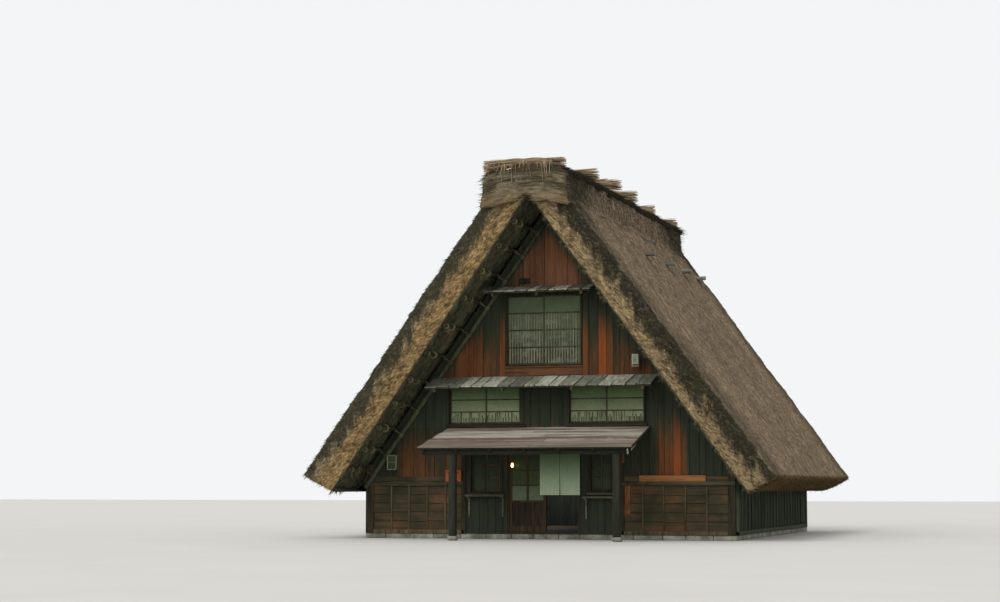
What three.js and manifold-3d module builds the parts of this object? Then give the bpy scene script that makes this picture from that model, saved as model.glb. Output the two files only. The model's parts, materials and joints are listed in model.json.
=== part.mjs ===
// Steep thatched farmhouse with a board-clad gable, three storeys under the roof and a small porch.
// Millimetres. X runs across the front gable, Y from the front wall to the back wall, Z is up.
// In the code Y = 0 is the outer face of the front wall. The house group is shifted along Y, so that
// the whole house stands on its centre.

import * as THREE from 'three';
import { mergeVertices } from 'three/addons/utils/BufferGeometryUtils.js';
import Module from 'manifold-3d';

const wasm = await Module();
wasm.setup();

// Body of the house
const bodyHalfWidth = 4700;
const bodyLength = 10600;
const wallThick = 120;
const postSide = 180;
const footingTop = 120;
const footingOut = 40;
const footingIn = 260;
const floorThick = 100;
const secondFloorTop = 2600;
const thirdFloorTop = 4200;
const fit = 0.3; // gap left where one piece is cut to fit another

// Roof
const roofRise = 1.38; // rise for each unit of run
const innerRidgeHeight = 8350; // where the undersides of the two thatch slopes meet
const thatchThick = 760;
const eaveInnerX = 5200;
const vergeFrontEave = -1200;
const vergeFrontRidge = -1600;
const vergeBack = 11500;
const vergeRounding = 200; // how far the outer edge of the verge is worn round
const eaveRounding = 40;
const eaveFlare = 120; // the outer edge of the eave lies this much further down the slope than the inner
const purlinSide = 100;
const purlinFirst = 300;
const purlinSpacing = 660;
const purlinCount = 13;
const rafterWidth = 160;
const rafterDepth = 170;
const rafterNotch = 10; // the purlins are let into the rafters by this much
const rafterCount = 9;
const rafterFoot = 350; // distance up the slope from the eave
const purlinInset = 60; // purlin ends stay this far behind the verge
const roofLayer = purlinSide + rafterDepth - rafterNotch;

// Ridge
const capHalfWidth = 1100;
const capTop = 9000;
const capSide = [[1080, 8450], [1060, 8750], [980, 8930]]; // X and Z from the foot up to the top
const capHollow = 120; // the middle of the cap's underside stands this far over the inner ridge
const capFront = -1760;
const capBack = 10750;
const ridgeBundles = [ // place along the house, left end and right end
  [-1480, -1130, 920],
  [550, -1020, 1210],
  [2440, -1000, 1330],
  [4560, -1010, 1240],
  [7520, -1030, 1030],
  [10430, -1030, 1020],
];
const bundleRadius = 130;
const tieRodPlaces = [3690, 6100, 8250, 10200];
const tieRodLength = 3840;
const tieRodRadius = 45;

// Openings in the walls: left, right, bottom and top edges on the gable
const doorway = { left: -1000, right: 840, bottom: footingTop, top: 2160 };
const groundWindowLeft = { left: -2000, right: -1120, bottom: 1105, top: 2160 };
const groundWindowRight = { left: 1090, right: 1710, bottom: 1140, top: 2140 };
const secondWindowLeft = { left: -2540, right: -570, bottom: 2815, top: 3860 };
const secondWindowRight = { left: 560, right: 2510, bottom: 2815, top: 3860 };
const thirdWindow = { left: -1050, right: 935, bottom: 4250, top: 6035 };
const windowFrame = 60;
const windowDepth = 90;
const windowInset = 20;
const paneThick = 6;

// Sliding doors
const jambWidth = 40;
const sillThick = 40;
const railHeight = 6;
const railWidth = 12;
const runningGap = 0.5;
const doorClearance = 5;
const leafWidth = 940;
const leafThick = 32;
const leafStile = 70;
const leafTracks = { outer: 28, inner: 80 };

// Porch
const porchDepth = 1900;
const porchLeft = -2650;
const porchRight = 2600;
const porchWallTop = 2755;
const porchFrontTop = 2235;
const porchRoofThick = 40;
const porchPosts = [['left', -1840], ['right', 2210]];
const porchPostSide = 170;
const porchPostY = -1720;
const porchStoneSide = 290;
const porchStoneHeight = 110;
const porchBeamDepth = 150;
const porchRafterCount = 7;
const porchRafterWidth = 60;
const porchRafterDepth = 90;

// Board roofs over the upper windows
const boardRoofThick = 40;
const middleRoof = { left: -2950, right: 2840, depth: 740, wallTop: 4015, frontTop: 3740, arms: 4 };
const upperRoof = { left: -1480, right: 1290, depth: 600, wallTop: 6250, frontTop: 6095, arms: 3 };
const armWidth = 70;
const armDepth = 80;

// Fittings on the front wall
const beltRail = { bottom: 1310, top: 1410, out: 60, leftEnd: -2130, rightStart: 1910 };
const nameBoard = { left: 2350, right: 3990, height: 145, thick: 32 };
const letterBoxSize = { left: -2590, right: -2170, height: 290, depth: 130 };
const lanternPlace = [-4000, 0, 1700];
const floodLampPlace = [2310, 0, 4355];
const entranceLampPlace = [-820, 0, 2240];

const slopeAngle = Math.atan(roofRise);
const alongSlope = Math.cos(slopeAngle);
const upSlope = Math.sin(slopeAngle);
const eaveInnerZ = innerRidgeHeight - roofRise * eaveInnerX;
const middleOfLength = (-porchDepth + vergeBack) / 2;

const house = new THREE.Group();
house.position.y = -middleOfLength;

// Height of the plane that lies a given depth under the thatch, square to the slope
function heightUnderRoof(x, depth) {
  return innerRidgeHeight - roofRise * Math.abs(x) - depth / alongSlope;
}

// Distance from the middle of the house to that plane, at a given height
function reachUnderRoof(z, depth) {
  return (innerRidgeHeight - depth / alongSlope - z) / roofRise;
}

function solidFrom(geometry) {
  const bare = geometry.clone();
  bare.deleteAttribute('normal');
  bare.deleteAttribute('uv');
  const merged = mergeVertices(bare, 0.001);
  return new wasm.Manifold(new wasm.Mesh({
    numProp: 3,
    vertProperties: Float32Array.from(merged.attributes.position.array),
    triVerts: Uint32Array.from(merged.index.array),
  }));
}

function geometryFrom(solid) {
  const mesh = solid.getMesh();
  const geometry = new THREE.BufferGeometry();
  geometry.setAttribute('position', new THREE.BufferAttribute(mesh.vertProperties, 3));
  geometry.setIndex(new THREE.BufferAttribute(mesh.triVerts, 1));
  geometry.computeVertexNormals();
  return geometry;
}

function block(x0, x1, y0, y1, z0, z1) {
  const box = new THREE.BoxGeometry(x1 - x0, y1 - y0, z1 - z0);
  box.translate((x0 + x1) / 2, (y0 + y1) / 2, (z0 + z1) / 2);
  return solidFrom(box);
}

function extruded(points, length) {
  const outline = new THREE.Shape(points.map(([a, b]) => new THREE.Vector2(a, b)));
  return new THREE.ExtrudeGeometry(outline, { depth: length, bevelEnabled: false });
}

// An outline in X and Z, carried from y0 back to y1
function gablePrism(points, y0, y1) {
  const geometry = extruded(points, y1 - y0);
  geometry.rotateX(Math.PI / 2);
  geometry.translate(0, y1, 0);
  return solidFrom(geometry);
}

// An outline in Y and Z, carried from x0 to x1
function sidePrism(points, x0, x1) {
  const geometry = extruded(points, x1 - x0);
  const turn = new THREE.Matrix4().makeBasis(
    new THREE.Vector3(0, 1, 0),
    new THREE.Vector3(0, 0, 1),
    new THREE.Vector3(1, 0, 0),
  );
  geometry.applyMatrix4(turn);
  geometry.translate(x0, 0, 0);
  return solidFrom(geometry);
}

function fuse(solids) {
  return solids.reduce((whole, next) => whole.add(next));
}

function cut(solid, holes) {
  return holes.reduce((rest, hole) => rest.subtract(hole), solid);
}

function finish(colour, roughness, metalness = 0) {
  return { color: colour, roughness, metalness };
}

const darkBoards = finish(0x3a2a20, 0.85);
const greyTimber = finish(0x6f6a5c, 0.85);
const poleTimber = finish(0x4a4030, 0.9);
const weatheredBoards = finish(0x8c8c86, 0.85);
const stone = finish(0x8f8d85, 0.9);
const floorBoards = finish(0x5a4632, 0.8);
const oldThatch = finish(0x8a7355, 1.0);
const capThatch = finish(0x7d6c50, 1.0);
const freshStraw = finish(0xc2a878, 1.0);
const windowWood = finish(0x6b4a2e, 0.7);
const doorWood = finish(0x4a3626, 0.7);
const clothGreen = finish(0xb9c9a4, 0.95);
const boardWood = finish(0xa8643c, 0.7);
const darkIron = finish(0x2c2c2a, 0.5, 0.6);
const lampGlass = finish(0xf2e7c8, 0.2);
const redEnamel = finish(0xc4532c, 0.45, 0.2);

function addPart(name, solid, look, parent = house) {
  const geometry = solid instanceof THREE.BufferGeometry ? solid : geometryFrom(solid);
  const mesh = new THREE.Mesh(geometry, new THREE.MeshStandardMaterial(look));
  mesh.name = name;
  parent.add(mesh);
  return mesh;
}

// The inside of the roof down to the tops of the walls: walls are trimmed to this
function underPurlins(y0, y1) {
  const depth = purlinSide + 2 * fit;
  const low = -100;
  const reach = bodyHalfWidth + 100;
  const points = [
    [-reach, low],
    [reach, low],
    [reach, heightUnderRoof(reach, depth)],
    [0, heightUnderRoof(0, depth)],
    [-reach, heightUnderRoof(reach, depth)],
  ];
  return gablePrism(points, y0, y1);
}

function wallPiece(y0, left, right, bottom, top, windows = []) {
  const y1 = y0 + wallThick;
  const plain = block(left, right, y0, y1, bottom, top).intersect(underPurlins(y0 - 1, y1 + 1));
  const holes = windows.map((w) => block(w.left, w.right, y0 - 1, y1 + 1, w.bottom, w.top));
  return cut(plain, holes);
}

function footing() {
  const outer = block(
    -bodyHalfWidth - footingOut, bodyHalfWidth + footingOut,
    -footingOut, bodyLength + footingOut, 0, footingTop,
  );
  const inner = block(
    -bodyHalfWidth + footingIn, bodyHalfWidth - footingIn,
    footingIn, bodyLength - footingIn, -1, footingTop + 1,
  );
  return outer.subtract(inner);
}

function groundFloor() {
  const halfWidth = bodyHalfWidth - footingIn;
  return block(-halfWidth, halfWidth, footingIn, bodyLength - footingIn, 0, footingTop);
}

function upperFloor(top) {
  const halfWidth = reachUnderRoof(top, roofLayer + 2 * fit);
  return block(-halfWidth, halfWidth, wallThick, bodyLength - wallThick, top - floorThick, top);
}

function buildBase() {
  addPart('stone_footing', footing(), stone);
  addPart('ground_floor', groundFloor(), floorBoards);
  addPart('second_floor', upperFloor(secondFloorTop), floorBoards);
  addPart('third_floor', upperFloor(thirdFloorTop), floorBoards);
}

function buildWalls() {
  const wide = bodyHalfWidth - postSide;
  const back = bodyLength - wallThick;
  const ridge = innerRidgeHeight;
  const secondWindows = [secondWindowLeft, secondWindowRight];
  addPart(
    'front_wall_left',
    wallPiece(0, -wide, doorway.left, footingTop, secondFloorTop, [groundWindowLeft]),
    darkBoards,
  );
  addPart(
    'front_wall_right',
    wallPiece(0, doorway.right, wide, footingTop, secondFloorTop, [groundWindowRight]),
    darkBoards,
  );
  addPart(
    'front_wall_over_door',
    wallPiece(0, doorway.left, doorway.right, doorway.top, secondFloorTop),
    darkBoards,
  );
  addPart('back_wall', wallPiece(back, -wide, wide, footingTop, secondFloorTop), darkBoards);
  for (const [side, y] of [['front', 0], ['back', back]]) {
    addPart(
      `${side}_gable_lower`,
      wallPiece(y, -wide, wide, secondFloorTop, thirdFloorTop, secondWindows),
      darkBoards,
    );
    addPart(
      `${side}_gable_upper`,
      wallPiece(y, -wide, wide, thirdFloorTop, ridge, [thirdWindow]),
      darkBoards,
    );
  }
}

// One long side: two corner posts and the low wall between them, trimmed to the rafters and purlins
function sideWall(side) {
  const outer = side * bodyHalfWidth;
  const wallInner = side * (bodyHalfWidth - wallThick);
  const postInner = side * (bodyHalfWidth - postSide);
  const edges = (a, b) => [Math.min(a, b), Math.max(a, b)];
  const [w0, w1] = edges(outer, wallInner);
  const [p0, p1] = edges(outer, postInner);
  const tall = 2400;
  const underRafters = roofLayer + 2 * fit;
  const trim = gablePrism([
    [w0 - 1, 0],
    [w1 + 1, 0],
    [w1 + 1, heightUnderRoof(w1 + 1, underRafters)],
    [w0 - 1, heightUnderRoof(w0 - 1, underRafters)],
  ], 0, bodyLength);
  const wall = block(w0, w1, postSide - 1, bodyLength - postSide + 1, footingTop, tall).intersect(trim);
  const frontPost = block(p0, p1, 0, postSide, footingTop, tall).intersect(underPurlins(-1, postSide + 1));
  const backPost = block(p0, p1, bodyLength - postSide, bodyLength, footingTop, tall)
    .intersect(underPurlins(bodyLength - postSide - 1, bodyLength + 1));
  return fuse([wall, frontPost, backPost]);
}

// Rafters, with the purlins that lie across them, on the underside of one slope.
// Local X runs along the house, local Y up the slope and local Z out through the thatch.
function rafterPlaces() {
  const first = postSide + rafterWidth / 2 + fit;
  const last = bodyLength - first;
  const inside = [];
  for (let i = 0; i < rafterCount; i += 1) {
    inside.push(first + (last - first) * i / (rafterCount - 1));
  }
  const beyondWall = rafterWidth / 2 + fit;
  return [-beyondWall, ...inside, bodyLength + beyondWall];
}

function roofFrame(side) {
  const low = -purlinSide - fit;
  const rafterLow = low - rafterDepth + rafterNotch;
  const slopeEnd = (eaveInnerX + rafterLow * upSlope) / alongSlope - 1;
  const rafters = rafterPlaces().map((y) => block(
    y - rafterWidth / 2, y + rafterWidth / 2, rafterFoot, slopeEnd, rafterLow, low + rafterNotch,
  ));
  const purlins = [];
  for (let i = 0; i < purlinCount; i += 1) {
    const u = purlinFirst + i * purlinSpacing;
    purlins.push(block(
      vergeFrontEave + purlinInset, vergeBack - purlinInset,
      u - purlinSide / 2, u + purlinSide / 2, low, -fit,
    ));
  }
  const lattice = fuse([...purlins, ...rafters]);
  return side > 0 ? lattice : lattice.mirror([1, 0, 0]);
}

function slopeGroup(side) {
  const group = new THREE.Group();
  const basis = new THREE.Matrix4().makeBasis(
    new THREE.Vector3(0, side, 0),
    new THREE.Vector3(-side * alongSlope, 0, upSlope),
    new THREE.Vector3(side * upSlope, 0, alongSlope),
  );
  group.quaternion.setFromRotationMatrix(basis);
  group.position.set(side * eaveInnerX, 0, eaveInnerZ);
  house.add(group);
  return group;
}

// One slope of thatch with worn outer edges along both verges, square at the eave.
// The front verge leans outwards towards the ridge.
function thatchSlab() {
  const worn = vergeRounding;
  const corner = worn * 0.29;
  const section = [
    [vergeFrontEave, 0],
    [vergeBack, 0],
    [vergeBack, thatchThick - worn],
    [vergeBack - corner, thatchThick - corner],
    [vergeBack - worn, thatchThick],
    [vergeFrontEave + worn, thatchThick],
    [vergeFrontEave + corner, thatchThick - corner],
    [vergeFrontEave, thatchThick - worn],
  ];
  const beyondRidge = 10;
  const length = (eaveInnerX + thatchThick * upSlope) / alongSlope + beyondRidge;
  const lean = (vergeFrontRidge - vergeFrontEave) / (innerRidgeHeight - eaveInnerZ);
  return sidePrism(section, -length, eaveFlare)
    .rotate([0, THREE.MathUtils.radToDeg(slopeAngle), 0])
    .translate([eaveInnerX, 0, eaveInnerZ])
    .warp((point) => {
      if (point[1] < middleOfLength) {
        point[1] += lean * (point[2] - eaveInnerZ);
      }
    });
}

// Front view of the right slope, with the outer edge of the eave worn
function slopeOutline() {
  const overRidge = innerRidgeHeight + thatchThick / alongSlope;
  const onEave = (depth, down) => [
    eaveInnerX + depth * upSlope + down * alongSlope,
    eaveInnerZ + depth * alongSlope - down * upSlope,
  ];
  return [
    onEave(0, 0),
    onEave(thatchThick - eaveRounding, eaveFlare),
    onEave(thatchThick, eaveFlare - eaveRounding),
    [fit, overRidge],
    [fit, innerRidgeHeight],
  ];
}

function capOutline() {
  const outerRidge = innerRidgeHeight + thatchThick / alongSlope;
  const half = [[capHalfWidth, outerRidge - roofRise * capHalfWidth], ...capSide];
  const mirrored = half.map(([x, z]) => [-x, z]).reverse();
  return [...half, [0, capTop], ...mirrored, [0, innerRidgeHeight + capHollow]];
}

function ridgeCap() {
  return gablePrism(capOutline(), capFront, capBack);
}

function tieRod(radius, length) {
  const rod = new THREE.CylinderGeometry(radius, radius, length, 10);
  rod.rotateZ(Math.PI / 2);
  return rod;
}

// The rods rest on the upper side of the purlin that is nearest to the foot of the cap
function tieRodHeight() {
  const u = purlinFirst + (purlinCount - 2) * purlinSpacing + purlinSide / 2;
  const purlinEdge = eaveInnerZ + u * upSlope - fit * alongSlope;
  return purlinEdge + tieRodRadius + fit;
}

function thatchSlope(side) {
  const beyond = 500;
  const gable = gablePrism(slopeOutline(), vergeFrontRidge - beyond, vergeBack + beyond);
  const slope = thatchSlab().intersect(gable);
  const rodSpaces = tieRodPlaces.map((y) => {
    const rod = tieRod(tieRodRadius + fit, tieRodLength + 100);
    rod.translate(0, y, tieRodHeight());
    return solidFrom(rod);
  });
  return cut(side > 0 ? slope : slope.mirror([1, 0, 0]), [ridgeCapSpace(), ...rodSpaces]);
}

// All that lies above the underside of the cap
function ridgeCapSpace() {
  const top = innerRidgeHeight + thatchThick / alongSlope + 200;
  const outerRidge = innerRidgeHeight + thatchThick / alongSlope;
  const foot = outerRidge - roofRise * capHalfWidth;
  const reach = capHalfWidth + 40;
  const apex = innerRidgeHeight + capHollow;
  const fall = (apex - foot) / capHalfWidth;
  const points = [
    [-reach, apex - fall * reach - fit],
    [0, apex - 2 * fit],
    [reach, apex - fall * reach - fit],
    [reach, top],
    [-reach, top],
  ];
  return gablePrism(points, vergeFrontRidge - 600, vergeBack + 600);
}

// A roll of straw laid across the ridge and seated on the cap
function strawBundle(left, right) {
  const sag = 45;
  const middle = (left + right) / 2;
  const path = new THREE.CatmullRomCurve3([
    new THREE.Vector3(left, 0, -sag),
    new THREE.Vector3((left + middle) / 2, 0, 0),
    new THREE.Vector3(middle, 0, 10),
    new THREE.Vector3((middle + right) / 2, 0, 0),
    new THREE.Vector3(right, 0, -sag),
  ]);
  const sides = 10;
  const ring = [];
  for (let i = 0; i < sides; i += 1) {
    const angle = 2 * Math.PI * i / sides;
    ring.push(new THREE.Vector2(bundleRadius * Math.cos(angle), bundleRadius * Math.sin(angle)));
  }
  const roll = new THREE.ExtrudeGeometry(new THREE.Shape(ring), { steps: 6, extrudePath: path });
  roll.translate(0, 0, capTop + bundleRadius * 0.75);
  const seat = gablePrism(capOutline(), -400, 400).translate([0, 0, fit]);
  return solidFrom(roll).subtract(seat).translate([0, 0, -capTop]);
}

function buildRoof() {
  for (const [name, side] of [['left', -1], ['right', 1]]) {
    addPart(`thatch_${name}`, thatchSlope(side), oldThatch);
    addPart(`roof_frame_${name}`, roofFrame(side), poleTimber, slopeGroup(side));
    addPart(`${name}_side_wall`, sideWall(side), darkBoards);
  }
  addPart('ridge_cap', ridgeCap(), capThatch);
  ridgeBundles.forEach(([y, left, right], i) => {
    const bundle = addPart(`ridge_bundle_${i + 1}`, strawBundle(left, right), freshStraw);
    bundle.position.set(0, y, capTop);
  });
  tieRodPlaces.forEach((y, i) => {
    const rod = addPart(`ridge_tie_rod_${i + 1}`, tieRod(tieRodRadius, tieRodLength), poleTimber);
    rod.position.set(0, y, tieRodHeight());
  });
}

// A window frame with a middle post and one pane, set in its hole and standing on the hole's sill
function windowUnit(opening) {
  const halfWidth = (opening.right - opening.left) / 2 - fit;
  const height = opening.top - opening.bottom - fit;
  const inner = halfWidth - windowFrame;
  const frame = block(-halfWidth, halfWidth, 0, windowDepth, 0, height)
    .subtract(block(-inner, inner, -1, windowDepth + 1, windowFrame, height - windowFrame));
  const post = block(-windowFrame / 2, windowFrame / 2, 10, windowDepth - 10, 1, height - 1);
  const paneY = windowDepth / 2;
  const pane = block(
    -inner - 5, inner + 5, paneY - paneThick / 2, paneY + paneThick / 2,
    windowFrame - 5, height - windowFrame + 5,
  );
  return fuse([frame, post, pane]);
}

function buildWindows() {
  const upper = [
    ['second_left', secondWindowLeft],
    ['second_right', secondWindowRight],
    ['third', thirdWindow],
  ];
  const ground = [['ground_left', groundWindowLeft], ['ground_right', groundWindowRight]];
  const place = (name, opening, y) => {
    const unit = addPart(name, windowUnit(opening), windowWood);
    unit.position.set((opening.left + opening.right) / 2, y, opening.bottom);
  };
  for (const [name, opening] of [...ground, ...upper]) {
    place(`window_${name}`, opening, windowInset);
  }
  for (const [name, opening] of upper) {
    place(`back_window_${name}`, opening, bodyLength - windowInset - windowDepth);
  }
}

// Jambs, head and sill around the doorway, with two low rails on the sill
function entranceFrame() {
  const left = doorway.left + fit;
  const right = doorway.right - fit;
  const top = doorway.top - fit;
  const ring = block(left, right, 0, wallThick, doorway.bottom, top).subtract(block(
    left + jambWidth, right - jambWidth, -1, wallThick + 1, doorway.bottom + sillThick, top - jambWidth,
  ));
  const sillTop = doorway.bottom + sillThick;
  const rails = Object.values(leafTracks).map((y) => block(
    left + 1, right - 1, y - railWidth / 2, y + railWidth / 2, sillTop - 1, sillTop + railHeight,
  ));
  return fuse([ring, ...rails]);
}

// A glazed door leaf: stiles, rails and panes in the upper part, a board in the lower part
function doorLeaf() {
  const bottom = doorway.bottom + sillThick + railHeight + runningGap;
  const top = doorway.top - jambWidth - doorClearance - fit;
  const height = top - bottom;
  const panelTop = height * 0.24;
  const half = leafThick / 2;
  const glassThick = 6;
  const plate = block(0, leafWidth, -half, half, 0, height);
  const hole = block(leafStile, leafWidth - leafStile, -half - 1, half + 1, panelTop, height - leafStile);
  const glass = block(
    leafStile - 5, leafWidth - leafStile + 5, -glassThick / 2, glassThick / 2,
    panelTop - 5, height - leafStile + 5,
  );
  return fuse([plate.subtract(hole), glass]);
}

function buildEntrance() {
  addPart('entrance_frame', entranceFrame(), greyTimber);
  const bottom = doorway.bottom + sillThick + railHeight + runningGap;
  const leafLeft = doorway.left + jambWidth + fit + doorClearance;
  for (const [name, y] of Object.entries(leafTracks)) {
    addPart(`door_leaf_${name}`, doorLeaf(), doorWood).position.set(leafLeft, y, bottom);
  }
}

// A rod on two brackets over the doorway, and the short split curtain that hangs from it
function buildCurtain() {
  const curtain = { left: -150, right: 870, bottom: 1080, thick: 8 };
  const rodSide = 24;
  const rodY = -70;
  const rodZ = 2185;
  const reach = 60;
  const rod = block(
    curtain.left - reach, curtain.right + reach,
    rodY - rodSide / 2, rodY + rodSide / 2, rodZ - rodSide / 2, rodZ + rodSide / 2,
  );
  const brackets = [curtain.left - reach + 10, curtain.right + reach - 30].map((x) => block(
    x, x + 20, rodY, 0, rodZ - rodSide / 2 + 2, rodZ + rodSide / 2 - 2,
  ));
  addPart('curtain_rod', fuse([rod, ...brackets]), darkIron);
  const cloth = block(
    curtain.left, curtain.right, rodY - curtain.thick / 2, rodY + curtain.thick / 2,
    curtain.bottom, rodZ - rodSide / 2 - fit,
  );
  addPart('entrance_curtain', cloth, clothGreen);
}

function porchRoof() {
  const points = [
    [-porchDepth, porchFrontTop - porchRoofThick],
    [0, porchWallTop - porchRoofThick],
    [0, porchWallTop],
    [-porchDepth, porchFrontTop],
  ];
  return sidePrism(points, porchLeft, porchRight);
}

function porchUnderside(y, below) {
  const fall = (porchWallTop - porchFrontTop) / porchDepth;
  return porchWallTop - porchRoofThick + fall * y - below;
}

function porchFrame() {
  const inset = 50;
  const rafterPoints = [
    [-porchDepth + inset, porchUnderside(-porchDepth + inset, porchRafterDepth)],
    [0, porchUnderside(0, porchRafterDepth)],
    [0, porchUnderside(0, fit)],
    [-porchDepth + inset, porchUnderside(-porchDepth + inset, fit)],
  ];
  const first = porchLeft + inset;
  const last = porchRight - inset - porchRafterWidth;
  const pieces = [];
  for (let i = 0; i < porchRafterCount; i += 1) {
    const x = first + (last - first) * i / (porchRafterCount - 1);
    pieces.push(sidePrism(rafterPoints, x, x + porchRafterWidth));
  }
  pieces.push(block(
    porchLeft + inset + 1, porchRight - inset - 1,
    porchPostY - porchPostSide / 2 + 20, porchPostY + porchPostSide / 2 - 20,
    porchBeamBottom(), porchBeamBottom() + porchBeamDepth,
  ));
  return fuse(pieces);
}

function porchBeamBottom() {
  const notch = 40;
  return porchUnderside(porchPostY, porchRafterDepth) - porchBeamDepth + notch;
}

function porchStone() {
  const half = porchStoneSide / 2;
  const ledge = 25;
  const points = [
    [-half, 0], [half, 0], [half, porchStoneHeight - ledge], [half - ledge, porchStoneHeight],
    [-half + ledge, porchStoneHeight], [-half, porchStoneHeight - ledge],
  ];
  return gablePrism(points, -half, half);
}

function buildPorch() {
  addPart('porch_roof', porchRoof(), weatheredBoards);
  addPart('porch_frame', porchFrame(), greyTimber);
  const postHeight = porchBeamBottom() - porchStoneHeight;
  for (const [name, x] of porchPosts) {
    const half = porchPostSide / 2;
    const post = addPart(`porch_post_${name}`, block(-half, half, -half, half, 0, postHeight), greyTimber);
    post.position.set(x, porchPostY, porchStoneHeight);
    addPart(`porch_stone_${name}`, porchStone(), stone).position.set(x, porchPostY, 0);
  }
}

// A sloping board roof on horizontal arms that stand out of the wall
function boardRoof(roof) {
  const fall = (roof.wallTop - roof.frontTop) / roof.depth;
  const underside = (y) => roof.wallTop - boardRoofThick + fall * y;
  const boards = sidePrism([
    [-roof.depth, roof.frontTop - boardRoofThick],
    [0, roof.wallTop - boardRoofThick],
    [0, roof.wallTop],
    [-roof.depth, roof.frontTop],
  ], roof.left, roof.right);
  const front = -roof.depth + 60;
  const armTop = underside(front) + 5;
  const pieces = [boards];
  for (let i = 0; i < roof.arms; i += 1) {
    const share = (i + 0.5) / roof.arms;
    const x = roof.left + (roof.right - roof.left) * share - armWidth / 2;
    pieces.push(block(x, x + armWidth, front, 0, armTop - armDepth, armTop));
  }
  const plateBack = front + 70;
  pieces.push(block(
    roof.left + 40, roof.right - 40, front + 1, plateBack, armTop - armDepth + 10, underside(plateBack) + 3,
  ));
  const wallPlate = underside(0);
  pieces.push(block(roof.left + 40, roof.right - 40, -50, 0, wallPlate - 90, wallPlate - 5));
  const trimmed = fuse(pieces).intersect(underPurlins(-roof.depth - 1, 0));
  return cut(trimmed, [outerRafterSpace(-1), outerRafterSpace(1)]);
}

// The room that the rafters in front of the gable wall need on one side
function outerRafterSpace(side) {
  const depth = roofLayer + 2 * fit;
  const [low, high] = [3000, 7500];
  const reach = 4200;
  const points = [
    [side * reachUnderRoof(low, depth), low],
    [side * reach, low],
    [side * reach, high],
    [side * reachUnderRoof(high, depth), high],
  ];
  return gablePrism(side > 0 ? points : points.reverse(), -rafterWidth - 2 * fit, 1);
}

function buildFittings() {
  addPart('middle_board_roof', boardRoof(middleRoof), weatheredBoards);
  addPart('upper_board_roof', boardRoof(upperRoof), weatheredBoards);
  const rail = beltRail;
  addPart(
    'belt_rail_left',
    block(-bodyHalfWidth, rail.leftEnd, -rail.out, 0, rail.bottom, rail.top),
    greyTimber,
  );
  addPart(
    'belt_rail_right',
    block(rail.rightStart, bodyHalfWidth, -rail.out, 0, rail.bottom, rail.top),
    greyTimber,
  );
  const board = nameBoard;
  addPart(
    'name_board',
    block(board.left, board.right, -board.thick, 0, rail.top, rail.top + board.height),
    boardWood,
  );
  const box = letterBoxSize;
  addPart(
    'letter_box',
    block(box.left, box.right, -box.depth, 0, rail.top, rail.top + box.height),
    redEnamel,
  );
}

// A framed lantern on the wall: a case with a pitched cap
function wallLantern() {
  const body = block(-100, 100, -120, 0, 0, 300);
  const cap = sidePrism([[-150, 290], [0, 290], [0, 380], [-60, 380]], -130, 130);
  return fuse([body, cap]);
}

// A flood lamp: a square housing held on a short arm
function floodLamp() {
  const housing = block(-85, 85, -230, -110, -135, 135);
  const arm = block(-20, 20, -120, 0, -20, 20);
  const plate = block(-50, 50, -12, 0, -50, 50);
  return fuse([housing, arm, plate]);
}

// A bulb in a socket on a bent arm over the door
function entranceLamp() {
  const armOut = 190;
  const armSide = 24;
  const half = armSide / 2;
  const drop = 340;
  const socketLength = 50;
  const bulbLength = 195;
  const plate = block(-45, 45, -14, 0, -60, 60);
  const arm = block(-half, half, -armOut, -10, -half, half);
  const hanging = block(-half, half, -armOut, -armOut + armSide, -drop, 0);
  const bottom = socketLength - drop - bulbLength;
  const bulbProfile = [
    [0, 0], [32, 8], [52, 40], [52, 65], [30, 105], [26, 145], [26, 190], [0, bulbLength],
  ].map(([radius, z]) => new THREE.Vector2(radius, bottom + z));
  const bulb = new THREE.LatheGeometry(bulbProfile, 12);
  bulb.rotateX(Math.PI / 2);
  bulb.translate(0, half - armOut, 0);
  return fuse([plate, arm, hanging, solidFrom(bulb)]);
}

function buildLamps() {
  addPart('wall_lantern', wallLantern(), darkIron).position.set(...lanternPlace);
  addPart('flood_lamp', floodLamp(), darkIron).position.set(...floodLampPlace);
  addPart('entrance_lamp', entranceLamp(), lampGlass).position.set(...entranceLampPlace);
}

buildBase();
buildWalls();
buildRoof();
buildWindows();
buildEntrance();
buildCurtain();
buildPorch();
buildFittings();
buildLamps();

export default house;
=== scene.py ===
import json
import math
import random

import bmesh
import bpy
from mathutils import Matrix, Vector, noise

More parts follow.
